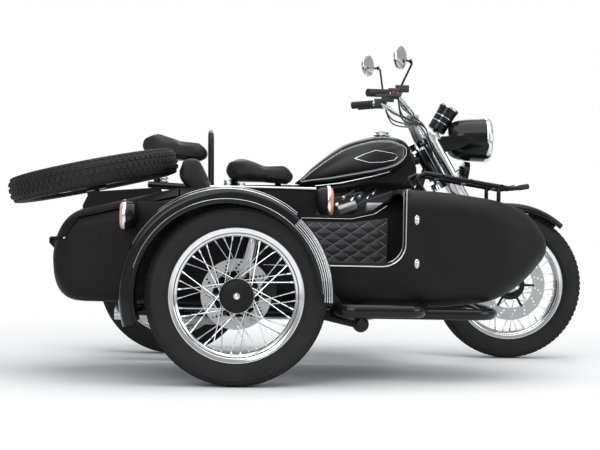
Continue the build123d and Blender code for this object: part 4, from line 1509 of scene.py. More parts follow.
@dataclass
class SidecarHull:
    """The boat-shaped sidecar body and its boot lid, one smooth shell cut apart."""

    first: float = -686.0
    last: float = 1222.0
    wall: float = 8.0
    top: Profile = (
        (-686, 478), (-680, 522), (-668, 553), (-652, 580), (-630, 604), (-600, 624), (-560, 637),
        (-443, 664), (-222, 715), (-60, 724), (300, 728), (635, 727), (757, 723), (913, 706),
        (1009, 690), (1098, 661), (1153, 623), (1190, 582), (1210, 548), (1222, 518),
    )
    low: Profile = (
        (-686, 420), (-682, 368), (-668, 331), (-639, 301), (-605, 288), (-560, 284), (730, 284),
        (862, 291), (988, 313), (1072, 355), (1140, 406), (1190, 456), (1212, 488), (1222, 512),
    )
    half: Profile = (
        (-686, 186), (-680, 205), (-660, 224), (-600, 242), (-400, 268), (-200, 275),
        (600, 275), (850, 262), (1000, 235), (1100, 195), (1180, 130), (1212, 74), (1222, 22),
    )
    cockpit: Profile = (
        (-150, 622), (470, 622), (560, 632), (640, 664), (662, 760), (-150, 760)
    )
    far_side: Profile = (
        (-150, 617), (480, 617), (570, 640), (640, 690), (650, 760), (-150, 760)
    )
    seam: Profile = (
        (-740, 500), (-640, 520), (-590, 594), (-420, 634), (-214, 682), (-214, 900), (-740, 900)
    )
    gap: float = 6.0
    # The step-in cut's rear end, front end, sill and top.
    door: tuple[float, float, float, float] = (150.0, 634.0, 440.0, 760.0)
    door_corner: float = 85.0

    def build(self) -> None:
        """Make the shell, cut the openings and the lid, and add what stands inside."""
        shell = self._hull("hull", 0.0)
        cut(shell, self._hull("hollow", self.wall))
        lid = copy_mesh(shell, "lid_shell")
        cut(shell, plate("seam", self.seam, BODY_LEFT, 640, 0.0))
        cut(shell, plate("cockpit", self.cockpit, BODY_LEFT, 490, 0.0))
        cut(shell, plate("far_side", self.far_side, BODY_LEFT + 200, 200, 0.0))
        cut(shell, plate("step_in", self._door(), 130, 140, 0.0))
        raised = [(ahead, up + self.gap) for ahead, up in self.seam]
        raised[4] = (-214 - self.gap, raised[4][1])
        raised[5] = (-214 - self.gap, 900)
        cut(lid, plate("lid_zone", raised, BODY_LEFT, 640, 0.0), "INTERSECT")
        finish_group([shell, *self._inside()], "sidecar_tub", Body.MACHINE, SATIN_BLACK, ("body",), 40)
        finish_group([lid, *self._hinge()], "boot_cover", Body.LID, SATIN_BLACK, ("boot_lid",), 40)

    def wall_left(self, ahead: float, far: bool = False) -> float:
        """Give where the outer side wall stands at one place.

        Args:
            ahead: The place along the body.
            far: Whether the left wall is meant.

        Returns:
            The distance to the left of the sidecar wheel.
        """
        return BODY_LEFT + between(self.half, ahead) * (1 if far else -1)

    def _hull(self, name: str, inset: float) -> bpy.types.Object:
        """Loft the outer form, or the hollow when drawn in.

        Args:
            name: The new object's name.
            inset: How far it is drawn in, in millimetres.

        Returns:
            The closed form.
        """
        start = self.first + inset
        length = self.last - inset - start

        def shape(u: float, v: float) -> Vector:
            """Find a place on the skin, round it by u and along it by v."""
            ahead = start + length * (0.5 - 0.5 * math.cos(math.pi * v))
            low = between(self.low, ahead) + inset
            high = between(self.top, ahead) - inset
            half = max(2.0, between(self.half, ahead) - inset)
            if high - low < 4:
                middle = (high + low) / 2
                low, high = middle - 2, middle + 2
            corner = min(80.0, (high - low) * 0.47, half * 0.6)
            across, up = round_rectangle(half, (high - low) / 2, corner, u)
            return place(ahead, BODY_LEFT + across, (low + high) / 2 + up)

        form = grid(name, 80, 120, shape)
        close_ends(form)
        return form

    def _door(self) -> list[tuple[float, float]]:
        """Draw the step-in cut with its round lower corners.

        Returns:
            The cut's (ahead, up) outline.
        """
        first, last, low, high = self.door
        radius = self.door_corner
        outline = [(first, high)]
        for middle, start in ((first + radius, 180), (last - radius, 270)):
            for step in range(13):
                angle = math.radians(start + 90 * step / 12)
                outline.append(
                    (middle + radius * math.cos(angle), low + radius + radius * math.sin(angle))
                )
        outline.append((last, high))
        return outline

    def _inside(self) -> list[bpy.types.Object]:
        """Build the bulkhead, seat box, side shoulder, lamp brackets and hinge lugs.

        Returns:
            The parts that are joined to the tub.
        """
        shoulder = ((-120, 617), (292, 617), (292, 716), (284, 724), (-120, 724))
        stay = ((-100, 520), (-40, 520), (-40, 640), (-100, 640))
        bracket = ((-370, 560), (-220, 560), (-200, 664), (-370, 664))
        lug = ((-711, 500), (-711, 518), (-706, 524), (-688, 524), (-678, 496), (-678, 466))
        parts = [
            brick("bulkhead", place(-190, BODY_LEFT, 470), (0.008, 0.524, 0.33), 0.002),
            brick("seat_box", place(110, BODY_LEFT, 322.85), (0.44, 0.42, 0.0637), 0.006),
            plate("shoulder", shoulder, 131, 68, 0.004),
            plate("stay", stay, 134, 34, 0.002),
            plate("lamp_bracket", bracket, 130, 44, 0.004),
        ]
        for side in SIDES:
            parts.append(plate(f"lug_{side}", lug, BODY_LEFT + side * 106, 16, 0.001))
        return parts

    def _hinge(self) -> list[bpy.types.Object]:
        """Build the lid's hinge pin and its tongue."""
        return [
            cross_bar("hinge_pin", -699, BODY_LEFT, 114, 512, 6),
            plate("tongue", ((-703, 508), (-703, 518), (-662, 552), (-656, 540)), BODY_LEFT, 60,
                  0.001),
        ]


@dataclass
class CockpitTrim:
    """The bright beads round the cockpit, and the cowl's fasteners."""

    hull: SidecarHull = field(default_factory=SidecarHull)
    fastener: Profile = (
        (-2, 0), (-2, 17), (1.0, 17.5), (2.4, 16), (2.6, 13), (1.6, 10), (2.6, 7), (5.2, 6.4),
        (6.0, 4.6), (6.0, 2.2), (5.0, 1.4), (5.0, 0),
    )
    fastener_spots: Profile = ((671, 614), (674, 450))
    fastener_narrow: float = 0.56

    def build(self) -> None:
        """Run the beads round the openings and set the fasteners."""
        finish_group(self._beads(), "cockpit_beads", Body.MACHINE, TRIM_CHROME, (), 60)
        fasteners = [self._fastener(ahead, up) for ahead, up in self.fastener_spots]
        finish_group(fasteners, "cowl_fasteners", Body.MACHINE, CHROME, (), 50)

    def _beads(self) -> list[bpy.types.Object]:
        """Bend each bead along its edge of the cockpit.

        Returns:
            The beads.
        """
        near = self.hull.wall_left(400)
        far = self.hull.wall_left(400, True)
        door = ((100, near - 2, 437), (631, near - 1, 437), (631, near + 1, 727))
        door_in = ((100, near + 4, 448), (621, near + 4, 448), (621, near + 6, 722))
        side = (
            (-140, far - 4, 622), (478, far - 4, 622), (568, far - 5, 645), (636, far - 8, 692),
            (648, far - 40, 716),
        )
        side_in = (
            (-140, far - 10, 612), (480, far - 10, 612), (574, far - 11, 634), (640, far - 14, 680)
        )
        cowl = (
            (631, near + 1, 724), (652, near + 50, 730), (656, BODY_LEFT, 731), (652, far - 50, 730)
        )
        rows = (
            (door, 2.8, 88), (door_in, 1.5, 78), (side, 3.0, 60), (side_in, 1.6, 60),
            (cowl, 3.0, 60), (((-104, 92, 722), (288, 92, 722)), 5.0, 10),
        )
        return [pipe("bead", corners, radius, bend) for corners, radius, bend in rows]

    def _fastener(self, ahead: float, up: float) -> bpy.types.Object:
        """Turn one oval fastener on the cowl's right wall.

        Args:
            ahead: Its place along the body.
            up: Its height.

        Returns:
            The fastener.
        """
        foot = place(ahead, self.hull.wall_left(ahead) - 0.5, up)
        dish = lathe("fastener", self.fastener, foot, RIGHT, 56)
        for vertex in dish.data.vertices:
            vertex.co.x = foot.x + (vertex.co.x - foot.x) * self.fastener_narrow
        return dish


@dataclass
class FenderStrip:
    """The ribbed bright strip on the sidecar mudguard's front shoulder, and thin chrome lines round
    the mudguard that paint its highlights.
    """

    centre: Vector
    ribs: Profile = (
        (-81.5, 352), (-81.8, 360), (-80, 367.5), (-76.4, 373.5), (-71, 378),
    )
    rib_arc: tuple[float, float] = (-43.0, -93.0)
    # Each row holds a painted highlight line's left, its radius and the arc that it runs over: thin
    # chrome lines that paint the shine along the mudguard's edges and crown.
    painted_highlights: tuple[tuple[float, float, float, float], ...] = (
        (-84.5, 345, -88, 74), (-70, 381, -40, 62), (-20, 389.5, -40, 40),
    )

    def build(self) -> None:
        """Run five bright ribs down the mudguard's front, and thin chrome lines round it that paint
        its highlights.
        """
        parts = [self._run(left, radius, self.rib_arc, 40, 0.0022, 2) for left, radius in self.ribs]
        # Painted highlights: thin chrome lines along the mudguard's edges and crown.
        for left, radius, first, last in self.painted_highlights:
            parts.append(self._run(left, radius, (first, last), 72, 0.0011, 1))
        finish_group(parts, "fender_strip_and_painted_highlights", Body.MACHINE, TRIM_CHROME, (), 60)

    def _run(
        self, left: float, radius: float, arc: tuple[float, float], steps: int, thick: float,
        rings: int,
    ) -> bpy.types.Object:
        """Run one bright line round the mudguard; the ribs and the painted highlight lines both use
        it.

        Args:
            left: How far left of the wheel it lies.
            radius: Its radius about the axle.
            arc: Its first and last degrees, back from the top.
            steps: Into how many steps the arc is divided.
            thick: The line's own radius, in metres.
            rings: How finely the line is rounded.

        Returns:
            The line.
        """
        first, last = arc
        spots = [
            on_ring(self.centre, first + (last - first) * step / steps, left, radius)
            for step in range(steps + 1)
        ]
        return bar("line", spots, thick, rings)


@dataclass
class SmoothTubes:
    """Round bent tubes: the chassis, step, frame, rack, bars and exhausts."""

    rail_up: float = 261.7
    rails: tuple[float, float] = (712.0, 150.0)
    crosses: tuple[float, float] = (461.0, -100.0)
    cradle_half: float = 150.0
    seat_half: float = 138.0
    frame_crosses: Profile = ((-60, 724), (-370, 744), (600, 205), (120, 205))
    rack_half: float = 120.0
    rack_bars: Profile = ((790, 783), (900, 766), (1020, 748))
    # The bar's right half, from its middle to its end: ahead, right and up.
    bar_half: tuple[Point, ...] = (
        (788, 0, 1057), (770, 120, 1079), (672, BAR_REACH - 70, 1154), (555, BAR_REACH, 1148),
    )
    header_half: float = 292.0
    tail_half: float = 270.0
    silencer: Profile = (
        (0, 0), (0, 24), (6, 30), (30, 40), (60, 44), (430, 44), (448, 42), (456, 36),
        (500, 33), (508, 27), (516, 25), (612, 25), (613, 24), (613, 21), (560, 21), (560, 0),
    )

    def build(self) -> None:
        """Bend every tube group and dress it."""
        self._chassis()
        self._frame()
        self._rack()
        self._bars()
        self._exhausts()

    def _chassis(self) -> None:
        """Bend the sidecar's rails and its step."""
        up = self.rail_up
        far, near = self.rails
        parts = []
        for rail in self.rails:
            route = ((-430, 431, up), (-430, rail, up), (980, rail, up), (980, 431, up))
            parts.append(pipe(f"rail_{rail}", route, 22, 90))
        for ahead in self.crosses:
            parts.append(round_bar("cross", (ahead, far, up), (ahead, near, up), 20))
        parts.append(round_bar("pivot", (461, near, up), (461, 40, 226), 20, 3))
        route = ((375, near, 281), (375, -20, 281), (663, -20, 281), (700, near, 281))
        parts.append(pipe("step", route, 24, 60))
        finish_group(parts, "chassis_tubes", Body.MACHINE, GLOSS_BLACK, ("chassis",), 50)

    def _frame(self) -> None:
        """Bend the motorcycle's cradle and its top tube."""
        route = (
            self._leg(680), (690, BIKE_LEFT, 842), (300, BIKE_LEFT, 740), (-150, BIKE_LEFT, 730)
        )
        parts = [
            pipe("top_tube", route, 19, 80),
            round_bar("head", self._leg(572), self._leg(718), 26, 2),
        ]
        gusset = ((50, 200), (140, 200), (125, 372), (65, 372))
        for side in SIDES:
            wide = BIKE_LEFT + side * self.cradle_half
            slim = BIKE_LEFT + side * self.seat_half
            route = (
                self._leg(648), (760, BIKE_LEFT + side * 60, 560), (700, wide, 250),
                (600, wide, 205), (0, wide, 205), (-30, slim, 300), (-60, slim, 730),
                (-380, slim, 744),
            )
            parts += [
                pipe(f"cradle_{side}", route, 14, 50),
                round_bar(f"brace_{side}", (-60, slim, 720), (240, BIKE_LEFT, 738), 12),
                plate(f"pivot_plate_{side}", gusset, BIKE_LEFT + side * 142, 10, 0.001),
            ]
        for ahead, up in self.frame_crosses:
            parts.append(cross_bar("cross", ahead, BIKE_LEFT, self.cradle_half, up, 11))
        finish_group(parts, "frame_tubes", Body.MACHINE, GLOSS_BLACK, ("frame",), 50)

    def _leg(self, length: float) -> Point:
        """Give a place on the steering head in the machine's millimetres."""
        return (
            FRONT_AHEAD - length * math.sin(RAKE) - 60 * math.cos(RAKE),
            BIKE_LEFT,
            TYRE_R + length * math.cos(RAKE) - 60 * math.sin(RAKE),
        )

    def _rack(self) -> None:
        """Bend the luggage rack on the sidecar's nose."""
        parts = []
        rubber = []
        for side in SIDES:
            left = BODY_LEFT + side * self.rack_half
            route = (
                (720, left, 722), (684, left, 775), (724, left, 794), (860, left, 772),
                (1060, left, 742), (1112, left, 750),
            )
            parts.append(pipe(f"rack_{side}", route, 9, 24))
            rubber.append(round_bar(f"end_{side}", (1085, left, 745.5), (1128, left, 753), 10.5, 4))
            parts.append(round_bar(f"leg_{side}", (1010, left, 748), (1010, left, 684), 8))
            for ahead, up in self.rack_bars:
                parts.append(cross_bar(f"boss_{side}", ahead, left, 11, up, 10))
        for ahead, up in self.rack_bars:
            parts.append(cross_bar("rack_bar", ahead, BODY_LEFT, self.rack_half, up, 7))
        finish_group(parts, "rack_tubes", Body.MACHINE, GLOSS_BLACK, ("nose_rack",), 50)
        finish_group(rubber, "rack_ends", Body.MACHINE, GRIP_RUBBER, (), 50)

    def _bars(self) -> None:
        """Bend the handlebar from one end to the other."""
        near = [(ahead, BIKE_LEFT - right, up) for ahead, right, up in reversed(self.bar_half)]
        far = [(ahead, BIKE_LEFT + right, up) for ahead, right, up in self.bar_half[1:]]
        bend = pipe("bar_bend", (*near, *far), 11, 60)
        finish_piece(bend, "bar_bend", Body.STEERING, CHROME, ("handlebar",), 60)

    def _exhausts(self) -> None:
        """Bend the headers and turn the silencers."""
        parts = []
        hanger = ((-60, 200), (-30, 200), (-26, 282), (-60, 282))
        for side in SIDES:
            left = BIKE_LEFT + side * self.header_half
            tail = BIKE_LEFT + side * self.tail_half
            route = ((570, left, 420), (670, left, 410), (630, left, 200), (60, tail, 196))
            foot = place(110, tail, 196)
            parts += [
                pipe(f"header_{side}", route, 20, 78),
                lathe(f"silencer_{side}", self.silencer, foot, place(-503, tail, 191) - foot, 56),
                plate(f"hanger_{side}", hanger, tail - side * 40, 8, 0.001),
            ]
        finish_group(parts, "exhaust_pipes", Body.MACHINE, CHROME, ("exhausts",), 50)


@dataclass
class BrakeDisc:
    """A drilled steel brake disc on its black carrier."""

    name: str
    body: Body
    node: str
    ahead: float
    left: float
    outer: float
    rows: tuple[tuple[float, float, float], ...] = (
        (0.74, 0.0, 4.0), (0.83, 4.0, 4.5), (0.92, 8.0, 4.0),
    )
    holes: int = 15

    def build(self) -> None:
        """Turn the disc, drill it and turn its carrier."""
        centre = place(self.ahead, self.left, TYRE_R)
        inner = self.outer * 0.66
        ring = lathe(
            "ring", ((-2.4, inner), (-2.4, self.outer), (2.4, self.outer), (2.4, inner)),
            centre, LEFT, 120,
        )
        drills = []
        for share, shift, radius in self.rows:
            for number in range(self.holes):
                ahead, up = self._spot(self.outer * share, shift + 360 * number / self.holes)
                ends = ((ahead, self.left - 6, up), (ahead, self.left + 6, up))
                drills.append(round_bar("drill", *ends, radius, 0))
        cut(ring, join(drills, "drills"))
        finish_piece(ring, f"{self.name}_drilled", self.body, DISC_STEEL, (self.node,), 35)
        arms = [lathe("carrier", ((-4, 49), (-4, 66), (4, 66), (4, 49)), centre, LEFT, 72)]
        for number in range(6):
            near, far = (
                (ahead, self.left, up)
                for ahead, up in (
                    self._spot(reach, 30 + 60 * number) for reach in (56, self.outer * 0.70)
                )
            )
            arms.append(round_bar("arm", near, far, 5.5, 1))
        finish_group(arms, f"{self.name}_carrier", self.body, GLOSS_BLACK, (), 40)

    def _spot(self, reach: float, degrees: float) -> tuple[float, float]:
        """Give the ahead and up of a place on the disc, turned forward from its top."""
        angle = math.radians(degrees)
        return self.ahead + reach * math.sin(angle), TYRE_R + reach * math.cos(angle)


@dataclass
class HubCap:
    """The sidecar wheel's domed black cap with a small bright boss."""

    left: float = -52.0
    dome: Profile = (
        (-14, 0), (-14, 60), (-2, 62.5), (4, 62), (10, 57), (15, 46), (18.5, 32), (20, 16),
        (20.3, 0),
    )
    boss: Profile = (
        (17, 0), (17, 12.5), (20.5, 12.8), (22.2, 11.5), (22.2, 9.5), (20.8, 8.5), (21.2, 5),
        (22.6, 3.4), (22.9, 0),
    )
    ring: Profile = ((-3, 61.8), (-3, 63.6), (0.6, 63.6), (0.6, 61.6))

    def build(self) -> None:
        """Turn the dome, its thin ring and its plain boss."""
        centre = place(0, self.left, TYRE_R)
        dome = lathe("dome", self.dome, centre, RIGHT, 96)
        finish_piece(dome, "hub_cap_dome", Body.SIDECAR_WHEEL, SATIN_BLACK, ("hub_cap",), 50)
        boss = lathe("boss", self.boss, centre, RIGHT, 48)
        ring = lathe("ring", self.ring, centre, RIGHT, 96)
        finish_group([boss, ring], "hub_cap_boss", Body.SIDECAR_WHEEL, CHROME, (), 40)


@dataclass
class Cockpit:
    """The rider's instruments and hand controls: gauge, mirrors, cables and clamps."""

    can: Profile = ((0, 0), (0, 36), (4, 41), (92, 43), (112, 46), (118, 46), (118, 0))
    bezel: Profile = ((112, 45), (112, 47), (119, 47.5), (122, 45), (120, 40), (117, 40))
    dial: Profile = ((117, 0), (118.4, 0), (118.4, 41), (117, 41))
    # Heights of two thin chrome bands on the can that paint its reflection highlights.
    painted_highlight_spots: tuple[float, float] = (38.0, 66.0)
    # The mirror profiles' radii are shares of the head's own radius.
    head: Profile = (
        (8, 0), (9, 0.35), (6, 0.75), (0, 0.97), (-8, 1.0), (-10, 0.98), (-10, 0.93), (-6, 0.9),
        (-6, 0),
    )
    mirror: Profile = ((-7, 0), (-8, 0.3), (-7.4, 0.93), (-5.5, 0.93), (-5.5, 0))
    head_radius: float = 56.0
    head_flat: float = 0.9
    head_turn: float = -34.0
    # Each row holds a mirror's side, its stem's knee ahead and up, and its middle ahead and up.
    mirror_rows: tuple[tuple[int, float, float, float, float], ...] = (
        (-1, 742.0, 1282.0, 690.0, 1302.0), (1, 672.0, 1314.0, 622.0, 1336.0),
    )
    # Each row holds how high a cable starts, how low it hangs and its radius.
    cable_rows: tuple[tuple[float, float, float], ...] = (
        (1150.0, 1070.0, 3.6), (1168.0, 1100.0, 3.0), (1158.0, 1052.0, 3.2),
    )

    def build(self) -> None:
        """Build the gauge, the mirrors, the cables and the bar clamps."""
        self._gauge()
        self._mirrors()
        self._cables()
        self._clamps()

    def _gauge(self) -> None:
        """Turn the instrument: black can, two bright bands that paint reflection highlights on the
        can, bright rim and dial.
        """
        foot = place(896, BIKE_LEFT, 1016)
        axis = place(957, BIKE_LEFT, 1122) - foot
        can = lathe("can", self.can, foot, axis, 72)
        stalk = round_bar("stalk", (908, BIKE_LEFT, 1036), (872, BIKE_LEFT, 972), 15)
        finish_group([can, stalk], "gauge_case", Body.STEERING, GLOSS_BLACK, ("gauge",), 40)
        # Two thin chrome bands round the can: painted reflection highlights.
        painted_highlight_profiles = [
            ((low, 41), (low, 44.6), (low + 3, 44.6), (low + 3, 41)) for low in self.painted_highlight_spots
        ]
        bands = [lathe("band", profile, foot, axis, 72) for profile in (*painted_highlight_profiles, self.bezel)]
        finish_group(bands, "gauge_bezel_and_painted_highlights", Body.STEERING, CHROME, (), 40)
        dial = lathe("dial", self.dial, foot, axis, 48)
        finish_piece(dial, "gauge_dial", Body.STEERING, LENS_WHITE, (), 40)

    def _mirrors(self) -> None:
        """Bend the two stems and set the oval heads, turned towards the rider."""
        stems = []
        heads = []
        glasses = []
        for side, knee, knee_up, ahead, up in self.mirror_rows:
            left = BIKE_LEFT + side * (BAR_REACH - 76)
            route = (
                (690, left, 1164), (knee, left + side * 30, knee_up),
                (ahead + 42, left + side * 48, up - 14), (ahead + 24, left + side * 60, up - 12),
            )
            stems.append(pipe(f"stem_{side}", route, 4.6, 10))
            knuckle = (
                (ahead + 46, left + side * 44, up - 20), (ahead + 40, left + side * 50, up - 6)
            )
            stems.append(round_bar(f"knuckle_{side}", *knuckle, 7, 1.5))
            middle = place(ahead, left + side * 66, up)
            heads.append(self._oval(self.head, middle))
            glasses.append(self._oval(self.mirror, middle))
        finish_group(stems, "mirror_stems", Body.STEERING, GLOSS_BLACK, ("mirrors",), 60)
        finish_group(heads, "mirror_heads", Body.STEERING, CHROME, (), 50)
        finish_group(glasses, "mirror_glasses", Body.STEERING, MIRROR_GLASS, (), 50)

    def _oval(self, profile: Profile, middle: Vector) -> bpy.types.Object:
        """Turn one part of a mirror head, flatten it and turn it towards the rider.

        Args:
            profile: Its outline, with radii as shares of the head's radius.
            middle: Where the head stands.

        Returns:
            The part.
        """
        outline = tuple((along, share * self.head_radius) for along, share in profile)
        oval = lathe("oval", outline, Vector((0.0, 0.0, 0.0)), AHEAD, 64)
        spin = Matrix.Rotation(math.radians(self.head_turn), 3, "Z")
        for vertex in oval.data.vertices:
            vertex.co.z *= self.head_flat
            vertex.co = middle + spin @ vertex.co
        return oval

    def _cables(self) -> None:
        """Hang the cables from the levers to the steering head."""
        cables = []
        for side in SIDES:
            left = BIKE_LEFT + side * 250
            for rise, sag, radius in self.cable_rows:
                route = (
                    place(690, left, rise),
                    place(700, left - side * 60, sag + 10),
                    place(760, left - side * 150, sag - 20),
                    place(840, BIKE_LEFT + side * 40, 1040),
                    place(868, BIKE_LEFT + side * 30, 960),
                    place(880, BIKE_LEFT + side * 20, 900),
                )
                cables.append(bar(f"cable_{side}", route, radius / 1000, 2, bend=True))
        finish_group(cables, "control_cables", Body.STEERING, CONTROL_BLACK, (), 60)

    def _clamps(self) -> None:
        """Set the bar's clamps with their risers, and the two red buttons."""
        clamps = []
        for side in SIDES:
            left = BIKE_LEFT + side * 45
            clamps += [
                brick(f"clamp_{side}", place(784, left, 1060), (0.05, 0.034, 0.046), 0.008),
                round_bar(f"riser_{side}", (790, left, 1040), (822, left, 968), 17, 2),
            ]
        finish_group(clamps, "bar_clamps", Body.STEERING, BARE_ALLOY, (), 40)
        left = BIKE_LEFT - BAR_REACH + 46
        buttons = [
            round_bar("button", (ahead, left - 4, up), (ahead, left + 2, up), 5, 1)
            for ahead, up in ((664, 1156), (682, 1152))
        ]
        finish_group(buttons, "switch_buttons", Body.STEERING, SWITCH_RED, (), 40)


@dataclass
class EngineDress:
    """Cast covers, fins, flanges and bolts on the crankcase, gearbox and heads."""

    cylinder: tuple[float, float] = (500.0, 430.0)
    clutch: tuple[float, float] = (186.0, 378.0)
    clutch_radius: float = 84.0
    bolt_ring: float = 70.0
    fins: int = 6
    fin_first: float = 266.0
    fin_step: float = 9.5
    case: Profile = (
        (246, 232), (644, 232), (684, 299), (684, 471), (622, 564), (298, 564), (246, 522),
    )
    gearbox: Profile = ((114, 247), (248, 237), (248, 503), (191, 523), (114, 482))
    side_cover: Profile = (
        (276, 262), (626, 262), (656, 306), (656, 372), (392, 372), (330, 350), (276, 350),
    )
    cover_bolts: Profile = (
        (292, 278), (292, 338), (372, 356), (480, 360), (640, 356), (642, 312), (610, 276),
        (500, 276), (390, 276),
    )
    bolt: Profile = ((0, 0), (0, 6), (4.5, 6), (5.5, 5), (5.5, 3), (3, 3), (3, 0))

    def build(self) -> None:
        """Build the fins and covers on both sides, then the bolts."""
        cast = [
            plate("case_flange", self.case, BIKE_LEFT, 8, 0.001),
            plate("box_flange", self.gearbox, BIKE_LEFT + 40, 6, 0.001),
        ]
        covers = []
        bolts = []
        ahead, up = self.cylinder
        clutch_ahead, clutch_up = self.clutch
        for side in SIDES:
            fin = self._square(ahead, up, 82, 79, 24)
            for number in range(self.fins):
                left = BIKE_LEFT + side * (self.fin_first + self.fin_step * number)
                cast.append(plate(f"fin_{side}", fin, left, 3.4))
            cover = self._square(ahead, up, 72, 61, 20)
            covers.append(plate(f"valve_cover_{side}", cover, BIKE_LEFT + side * 336, 24, 0.004))
            cast += [
                plate(f"side_cover_{side}", self.side_cover, BIKE_LEFT + side * 128, 9, 0.003),
                round_bar(f"clutch_{side}", (clutch_ahead, BIKE_LEFT + side * 92, clutch_up),
                          (clutch_ahead, BIKE_LEFT + side * 108, clutch_up), self.clutch_radius, 6),
            ]
            bolts += [self._bolt(spot, side * 132, side) for spot in self.cover_bolts]
            for turn in range(8):
                angle = math.tau * turn / 8
                spot = (
                    clutch_ahead + self.bolt_ring * math.cos(angle),
                    clutch_up + self.bolt_ring * math.sin(angle),
                )
                bolts.append(self._bolt(spot, side * 107, side))
            bolts += [self._bolt((ahead + shift, up), side * 347, side) for shift in (-46, 46)]
        finish_group(cast, "engine_castings", Body.MACHINE, BARE_ALLOY, (), 35)
        finish_group(covers, "valve_covers", Body.MACHINE, CHROME, (), 35)
        finish_group(bolts, "engine_bolts", Body.MACHINE, CHROME, (), 40)

    def _square(
        self, ahead: float, up: float, wide: float, tall: float, corner: float
    ) -> list[tuple[float, float]]:
        """Draw a rectangle with round corners as a side outline."""
        return [
            (ahead + across, up + rise)
            for across, rise in (
                round_rectangle(wide, tall, corner, step / 48) for step in range(48)
            )
        ]

    def _bolt(self, spot: tuple[float, float], left: float, side: int) -> bpy.types.Object:
        """Turn one cap screw on a cover."""
        ahead, up = spot
        return lathe("bolt", self.bolt, place(ahead, BIKE_LEFT + left, up), LEFT * side, 12)


@dataclass
class SaddleSprings:
    """The bright coil springs that carry both saddles, beside their posts."""

    spots: tuple[tuple[float, float, float], ...] = (
        (-34, 738, 772), (24, 738, 764), (-176, 742, 858), (-316, 746, 858),
    )
    turns: float = 4.5
    coil: float = 15.0
    apart: float = 104.0

    def build(self) -> None:
        """Wind a coil on both sides at each place."""
        coils = []
        for ahead, low, high in self.spots:
            for side in SIDES:
                points = []
                count = 90 if high - low > 60 else 54
                turns = self.turns * count / 54
                for step in range(count + 1):
                    angle = math.tau * turns * step / count
                    points.append(
                        place(
                            ahead + self.coil * math.cos(angle),
                            BIKE_LEFT + side * self.apart + self.coil * math.sin(angle),
                            low + 4 + (high - low - 8) * step / count,
                        )
                    )
                coils.append(bar("coil", points, 0.0026, 1))
        finish_group(coils, "saddle_springs", Body.MACHINE, CHROME, (), 60)


